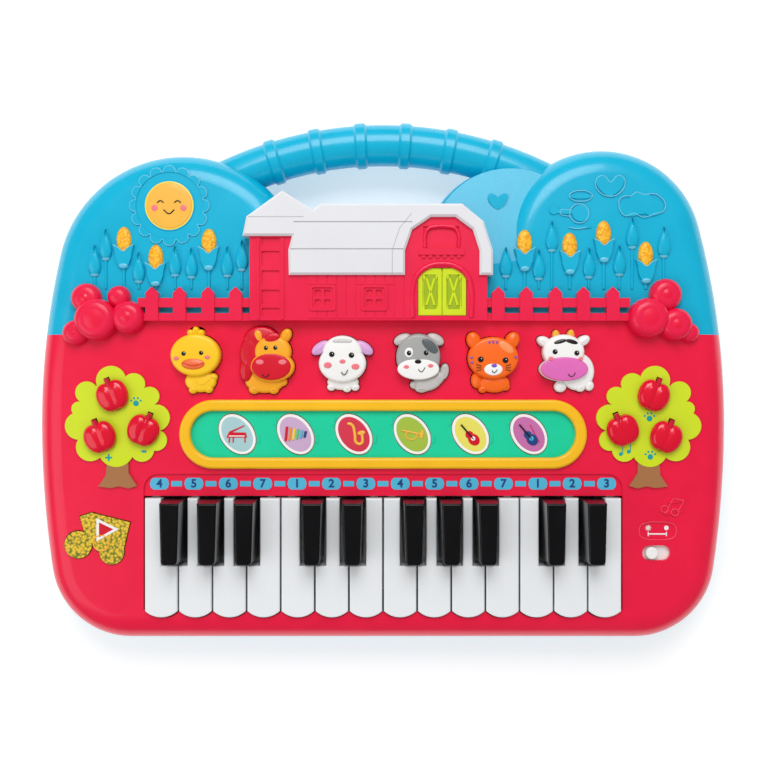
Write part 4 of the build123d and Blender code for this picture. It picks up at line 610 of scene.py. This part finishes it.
# ---------------------------------------------------------------- sky pictures
FACE_Z = 42.0
SUN = (-119.4, 96.5)
pebble("sun_rim", (*SUN, 14.0, 14.0, 0), FACE_Z, FACE_Z + 1.1, 0.8, 0.2, SUN_YELLOW, CASE, 64)
pebble("sun_face", (*SUN, 12.8, 12.8, 0), FACE_Z + 0.8, FACE_Z + 1.5, 0.6, 0.2, BRASSY, CASE, 64)
for side in (-1, 1):
    eye = [(SUN[0] + side * 4.8 + dx, SUN[1] + 2.6 - abs(dx) * 0.6) for dx in (-1.8, 0, 1.8)]
    stroke(f"sun_eye_{side + 1}", eye, 0.7, FACE_Z + 1.5, DARK, CASE)
    cheek_x, cheek_y = SUN[0] + side * 8.0, SUN[1] - 1.4
    dot(f"sun_cheek_{side + 1}", cheek_x, cheek_y, FACE_Z + 1.4, 1.9, CHEEK, CASE, 0.2)
smile = [(SUN[0] - 3, SUN[1] - 2.4), (SUN[0], SUN[1] - 4.6), (SUN[0] + 3, SUN[1] - 2.4)]
stroke("sun_smile", smile, 0.7, FACE_Z + 1.5, DARK, CASE)

STALK_FOOT_Y = 50.0
COBS = (
    (-144.8, 76.7), (-127.0, 66.7), (-97.3, 75.6), (79.1, 75.1), (104.3, 73.4), (123.3, 80.1),
    (146.8, 68.4),
)
BUDS = (
    (-161.1, 65.6), (-154.9, 74.5), (-136.5, 61.7), (-116.2, 65.3), (-107.1, 64.2), (-87.0, 65.0),
    (-78.9, 68.4), (68.6, 64.7), (87.0, 63.3), (94.3, 79.2), (115.0, 64.2), (132.0, 65.6),
    (139.2, 80.9), (156.8, 75.9),
)
CUP = ((0.0, -5.9), (3.0, -3.7), (5.8, -2.1), (4.7, -6.0), (4.3, -9.5), (3.0, -13.0), (1.6, -15.2))
DROP = ((0.0, 8.9), (0.9, 7.0), (1.8, 4.4), (2.7, 1.6), (3.4, -1.4), (3.5, -3.6), (2.9, -6.0), (1.4, -8.0))
for index, (x, y) in enumerate(COBS):
    pebble(f"cob_{index}", (x, y + 0.4, 4.2, 7.6, 0), FACE_Z, FACE_Z + 2.2, 2.2, 0.4, CORN, CASE)
    cup = [(x + dx, y + dy) for dx, dy in mirrored(CUP)]
    flat_piece(f"cup_{index}", cup, FACE_Z, FACE_Z + 2.3, SKY, CASE)
    # The pale blue stroke along the V of each leaf is a painted highlight.
    leaf_highlight = [(x - 5.7, y - 2.2), (x - 2.8, y - 3.8), (x, y - 5.9), (x + 2.8, y - 3.8), (x + 5.7, y - 2.2)]
    stroke(f"leaf_{index}", leaf_highlight, 0.7, FACE_Z + 2.3, SKY_PALE, CASE)
    foot = (x, y - 13.8, 2.7, 1.7, 0)
    pebble(f"cup_foot_{index}", foot, FACE_Z, FACE_Z + 2.8, 1.2, 0.3, SKY_PALE, CASE)
    stroke(f"stalk_{index}", [(x, y - 14), (x, STALK_FOOT_Y)], 1.9, FACE_Z + 0.1, SKY, CASE)
for index, (x, y) in enumerate(BUDS):
    drop = [(x + dx, y + dy) for dx, dy in mirrored(DROP)]
    domed(f"bud_{index}", drop, FACE_Z, FACE_Z + 2.6, SKY, CASE)
    foot = (x, y - 7.4, 2.2, 1.4, 0)
    pebble(f"bud_foot_{index}", foot, FACE_Z, FACE_Z + 1.9, 1.0, 0.3, SKY_PALE, CASE)
    stroke(f"bud_stalk_{index}", [(x, y - 8), (x, STALK_FOOT_Y)], 1.6, FACE_Z + 0.1, SKY, CASE)

# ---------------------------------------------------------------- boards of the barn wall
WALL_Z = 50.0
BOARD_PITCH = 5.3
BOARD_GAP = 0.8
BOARD_RISE = 0.4
WALL_LOW, WALL_HIGH = 33.0, 57.5
WINDOW_X = (-33.3, -4.9)
WINDOW_HALF = 7.4
WINDOW_Y = 44.4
BOARD_COUNT = 11
FIRST_BOARD_X = -41.0
for index in range(BOARD_COUNT):
    left = FIRST_BOARD_X + BOARD_PITCH * index
    right = left + BOARD_PITCH - BOARD_GAP
    spans = [(WALL_LOW, WALL_HIGH)]
    if any(left < x + WINDOW_HALF and right > x - WINDOW_HALF for x in WINDOW_X):
        spans = [(WALL_LOW, WINDOW_Y - WINDOW_HALF), (WINDOW_Y + WINDOW_HALF, WALL_HIGH)]
    for step, (low_y, high_y) in enumerate(spans):
        board = [(left, low_y), (right, low_y), (right, high_y), (left, high_y)]
        flat_piece(f"board_{index}_{step}", board, WALL_Z - 0.2, WALL_Z + BOARD_RISE, BARN_RED, CASE)

ARCH = (
    (16.5, 33.6), (16.5, 50.0), (19.0, 57.2), (25.0, 61.8), (32.6, 63.2), (40.2, 61.8), (46.2, 57.2),
    (48.7, 50.0), (48.7, 33.6),
)
stroke("door_arch", ARCH, 3.4, WALL_Z - 0.7, BARN_RED, CASE)
HATCH_FRAME = (
    (23.2, 72.0), (23.2, 79.4), (24.9, 82.5), (29.6, 83.8), (35.3, 83.8), (40.0, 82.5), (41.7, 79.4),
    (41.7, 72.0),
)
stroke("hatch_frame", HATCH_FRAME, 2.2, WALL_Z - 0.2, BARN_RED, CASE)
ledge = [(19.6, 68.0), (44.7, 68.0), (44.7, 71.4), (19.6, 71.4)]
flat_piece("hatch_ledge", ledge, WALL_Z - 0.2, WALL_Z + 1.4, BARN_RED, CASE)

# Ridges of the silo roof and the band round the gable, drawn as grey lines on the white roof: painted shade
# in their grooves.
ROOF_Z = 53.0
stroke("silo_ridge", [(-74.0, 88.7), (-43.5, 88.7)], 0.35, ROOF_Z, ROOF_SHADE_LINE, CASE)
BAND = ((5.0, 57.6), (5.0, 70.5), (9.1, 82.6), (15.7, 90.6))
for index in range(len(BAND) - 1):
    stroke(f"gable_band_shade_{index}", BAND[index:index + 2], 0.35, ROOF_Z, ROOF_SHADE_LINE, CASE)

# Sunk panels and crossed braces of the doors; the panels are flat pieces drawn in darker lime, which is
# painted shade in the recesses.
door_top = centre_of("barn_doors")[2]
DOOR_MIDDLE_X = 32.6
PANEL = ((0.0, 9.6), (2.2, 9.0), (3.3, 6.8), (3.3, -8.6), (2.6, -9.5), (0.0, -9.5))
for side in (-1, 1):
    middle = DOOR_MIDDLE_X + side * 6.4
    panel = [(middle + dx, 47.9 + dy) for dx, dy in mirrored(PANEL)]
    low, high = door_top - 0.2, door_top + 0.06
    flat_piece(f"door_panel_shade_{side + 1}", panel, low, high, LIME_PANEL_SHADE, CASE)
    for tilt in (-1, 1):
        line = [(middle - tilt * 2.2, 55.2), (middle + tilt * 2.2, 40.4)]
        stroke(f"door_brace_{side + 1}_{tilt + 1}", line, 1.5, door_top + 0.1, LIME, CASE)

# ---------------------------------------------------------------- round tops of the bushes
# Middle, radius and top height of each.
BUSHES = (
    (-165.2, 44.6, 8.4, 49.0), (-147.2, 45.4, 6.3, 48.5), (-159.3, 32.7, 11.6, 52.0),
    (-141.8, 34.0, 9.2, 50.5), (-171.3, 25.4, 7.2, 48.5),
    (157.2, 46.6, 8.9, 49.5), (147.2, 33.6, 11.1, 52.0), (162.5, 30.0, 9.1, 50.5), (170.6, 25.5, 5.5, 48.0),
)
for index, (x, y, radius, top) in enumerate(BUSHES):
    oval = (x, y, radius + 0.1, radius + 0.1, 0)
    pebble(f"bush_{index}", oval, top - 6.8, top + 0.5, 6.4, 0.5, RED, CASE, 56)

# ---------------------------------------------------------------- raised outlines in the sky
OUTLINE_Z = FACE_Z + 0.7
HEART = (
    (127.3, 109.7), (123.6, 113.0), (119.9, 112.2), (118.7, 108.9), (120.5, 104.4), (127.3, 101.7),
    (132.2, 103.5), (135.1, 108.5), (133.8, 112.6), (130.6, 113.0),
)
CLOUD = (
    (131.8, 96.6), (132.2, 99.9), (135.5, 101.9), (138.4, 101.9), (141.6, 104.0), (145.7, 102.7),
    (151.5, 103.1), (154.8, 101.5), (157.6, 97.4), (156.4, 93.3), (152.3, 92.1), (149.0, 90.8),
    (145.7, 90.0), (140.0, 92.1), (135.5, 90.8), (132.6, 93.3),
)
ROTOR = round_outline(110.5, 101.9, 6.4, 3.0)
CABIN = round_outline(109.6, 92.1, 5.3, 5.3)
for name, outline in (("heart", HEART), ("cloud", CLOUD), ("rotor", ROTOR), ("cabin", CABIN)):
    stroke(f"sky_{name}", outline, 0.6, OUTLINE_Z, SKY_PALE, CASE, True)
stroke("sky_tail", [(105.0, 94.2), (98.9, 93.0), (105.0, 90.2)], 0.5, OUTLINE_Z, SKY_PALE, CASE)
stroke("sky_skid", [(103.6, 84.4), (108.4, 83.6), (113.4, 84.4)], 0.6, OUTLINE_Z, SKY_PALE, CASE)
SUN_LOBES = 16
LOBE = ((18.9, -0.19), (21.6, -0.11), (22.3, 0.0), (21.6, 0.11), (18.9, 0.19))  # reach and turn
for index in range(SUN_LOBES):
    middle = 2 * math.pi * index / SUN_LOBES
    lobe = [(SUN[0] + reach * math.cos(middle + step), SUN[1] + reach * math.sin(middle + step))
            for reach, step in LOBE]
    stroke(f"sun_lobe_{index}", lobe, 0.5, OUTLINE_Z - 0.1, SKY_PALE, CASE)

# ---------------------------------------------------------------- marks on the trees, note button and switch
PLATE_Z = 43.5
# Foot of each crown, in the crown's colour, kept clear of the apple holes.
CROWN_X, CROWN_Y, CROWN_RADIUS = 148.9, -39.4, 10.0
FOOT_TURNS = [math.radians(degrees) for degrees in range(200, 341, 10)]
for side in (-1, 1):
    foot = [(side * CROWN_X + CROWN_RADIUS * math.cos(turn), CROWN_Y + CROWN_RADIUS * math.sin(turn))
            for turn in FOOT_TURNS]
    flat_piece(f"crown_low_{side + 1}", foot, PLATE_Z - 0.4, PLATE_Z - 0.02, LIME, CASE)
sign("tempo_up", "+", -153.0, -44.6, PLATE_Z, 7.5, LEAF, CASE)
sign("tempo_down", "-", -133.4, -40.0, PLATE_Z, 9.0, LEAF, CASE)
for x, y in ((-137.8, -13.1), (149.0, -43.0), (148.6, -21.6)):
    tag = f"{int(x)}_{int(-y)}"
    dot(f"paw_{tag}", x, y - 0.8, PLATE_Z, 1.7, LEAF, CASE, 0.1)
    for toe in range(4):
        angle = math.radians(30 + 40 * toe)
        toe_x = x + 3.0 * math.cos(angle)
        toe_y = y - 0.8 + 3.0 * math.sin(angle)
        dot(f"toe_{tag}_{toe}", toe_x, toe_y, PLATE_Z, 0.7, LEAF, CASE, 0.1)
for shift in (0, 4.4):
    x = 132.6 + shift
    y = -42.2 + shift * 0.3
    dot(f"tune_head_{int(shift)}", x, y, PLATE_Z, 1.2, LEAF, CASE, 0.1)
    stem = [(x + 1.0, y), (x + 1.0, y + 5.0)]
    stroke(f"tune_stem_{int(shift)}", stem, 0.5, PLATE_Z - 0.12, LEAF, CASE)

NOTE = "note_button"
note_top = centre_of(NOTE)[2]
edge = [(-160.0, -78.0), (-160.0, -91.0), (-147.4, -84.2)]
flat_piece("play_edge", edge, note_top - 0.3, note_top + 0.25, PALE, NOTE)
triangle = [(-158.5, -80.4), (-158.5, -88.6), (-150.6, -84.2)]
flat_piece("play_mark", triangle, note_top - 0.2, note_top + 0.4, CRIMSON, NOTE)
stroke("note_ring", round_outline(-157.4, -91.9, 4.3, 4.3), 0.9, note_top, BRASSY, NOTE, True)

LABEL_Z = 41.45
LABEL = (
    (147.9, -80.6), (153.6, -80.4), (159.3, -80.6), (163.0, -82.2), (163.9, -85.2), (163.0, -88.3),
    (159.3, -89.9), (153.6, -90.1), (147.9, -89.9), (144.2, -88.3), (143.3, -85.2), (144.2, -82.2),
)
BAR_ENDS_X = (148.4, 158.6)
MARK_Y, BAR_Y = -83.7, -87.1
stroke("power_frame", LABEL, 0.5, FACE_Z, RED_PALE, CASE, True)
for spoke in range(4):
    turn = math.pi * spoke / 4
    line = [(BAR_ENDS_X[0] + reach * math.cos(turn), MARK_Y + reach * math.sin(turn))
            for reach in (-1.7, 1.7)]
    stroke(f"power_star_{spoke}", line, 0.5, LABEL_Z, PALE, CASE)
dot("power_dot", BAR_ENDS_X[1], MARK_Y, LABEL_Z, 1.4, PALE, CASE, 0.15)
stroke("power_bar", [(x, BAR_Y) for x in BAR_ENDS_X], 0.9, LABEL_Z, PALE, CASE)
for x in BAR_ENDS_X:
    stroke(f"power_tick_{int(x)}", [(x, BAR_Y - 1.2), (x, BAR_Y + 1.2)], 0.7, LABEL_Z, PALE, CASE)

# Raised double note above the switch.
TUNE_Z = FACE_Z + 0.8
for name, x, y in (("left", 157.2, -73.0), ("right", 163.0, -74.8)):
    head = round_outline(x, y, 2.0, 1.8)
    stroke(f"tune_{name}_head", head, 0.5, TUNE_Z, RED_PALE, CASE, True)
TUNE_LINES = (((158.9, -72.6), (162.1, -67.0)), ((162.1, -67.0), (168.0, -68.1)),
              ((164.8, -74.2), (168.0, -68.1)))
for index, line in enumerate(TUNE_LINES):
    stroke(f"tune_line_{index}", line, 0.5, TUNE_Z, RED_PALE, CASE)

# ---------------------------------------------------------------- stage
floor_mesh = bpy.data.meshes.new("floor")
floor_mesh.from_pydata([(-3, -3, 0), (3, -3, 0), (3, 3, 0), (-3, 3, 0)], [], [(0, 1, 2, 3)])
paper = plastic("paper_floor", (0.78, 0.78, 0.78), 0.7, 0.01, 0.01, 0.0, 3)
paper_shader = paper.node_tree.nodes["Principled BSDF"]
paper_shader.inputs["Emission Color"].default_value = (1, 1, 1, 1)
paper_shader.inputs["Emission Strength"].default_value = 0.4
floor_mesh.materials.append(paper)
floor = bpy.data.objects.new("floor", floor_mesh)
bpy.context.collection.objects.link(floor)

world = bpy.data.worlds.new("studio")
bpy.context.scene.world = world
world.use_nodes = True
background = world.node_tree.nodes["Background"]
background.inputs["Color"].default_value = (1, 1, 1, 1)
# Mirror reflections see a dimmer room, so the colours stay deep.
paths = world.node_tree.nodes.new("ShaderNodeLightPath")
room = world.node_tree.nodes.new("ShaderNodeMapRange")
room.inputs["To Min"].default_value = 0.57
room.inputs["To Max"].default_value = 0.1
world.node_tree.links.new(paths.outputs["Is Glossy Ray"], room.inputs["Value"])
world.node_tree.links.new(room.outputs["Result"], background.inputs["Strength"])


def softbox(name, place, size, energy):
    """Square lamp aimed at the toy."""
    light = bpy.data.lights.new(name, "AREA")
    light.size = size
    light.energy = energy
    lamp = bpy.data.objects.new(name, light)
    lamp.location = place
    aim = -lamp.location.normalized()
    lamp.rotation_euler = aim.to_track_quat("-Z", "Y").to_euler()
    bpy.context.collection.objects.link(lamp)


softbox("top_light", (0.0, 0.75, 1.0), 0.7, 7.8)
softbox("fill_light", (-0.9, -0.3, 0.9), 0.9, 2.9)

CAMERA_HEIGHT = 0.602
camera_data = bpy.data.cameras.new("camera")
camera_data.lens = 47.44
camera_data.sensor_width = 36.0
camera = bpy.data.objects.new("camera", camera_data)
camera.location = (-0.0017, -0.0009, CAMERA_HEIGHT)
bpy.context.collection.objects.link(camera)
bpy.context.scene.camera = camera
bpy.context.scene.view_settings.view_transform = "Standard"
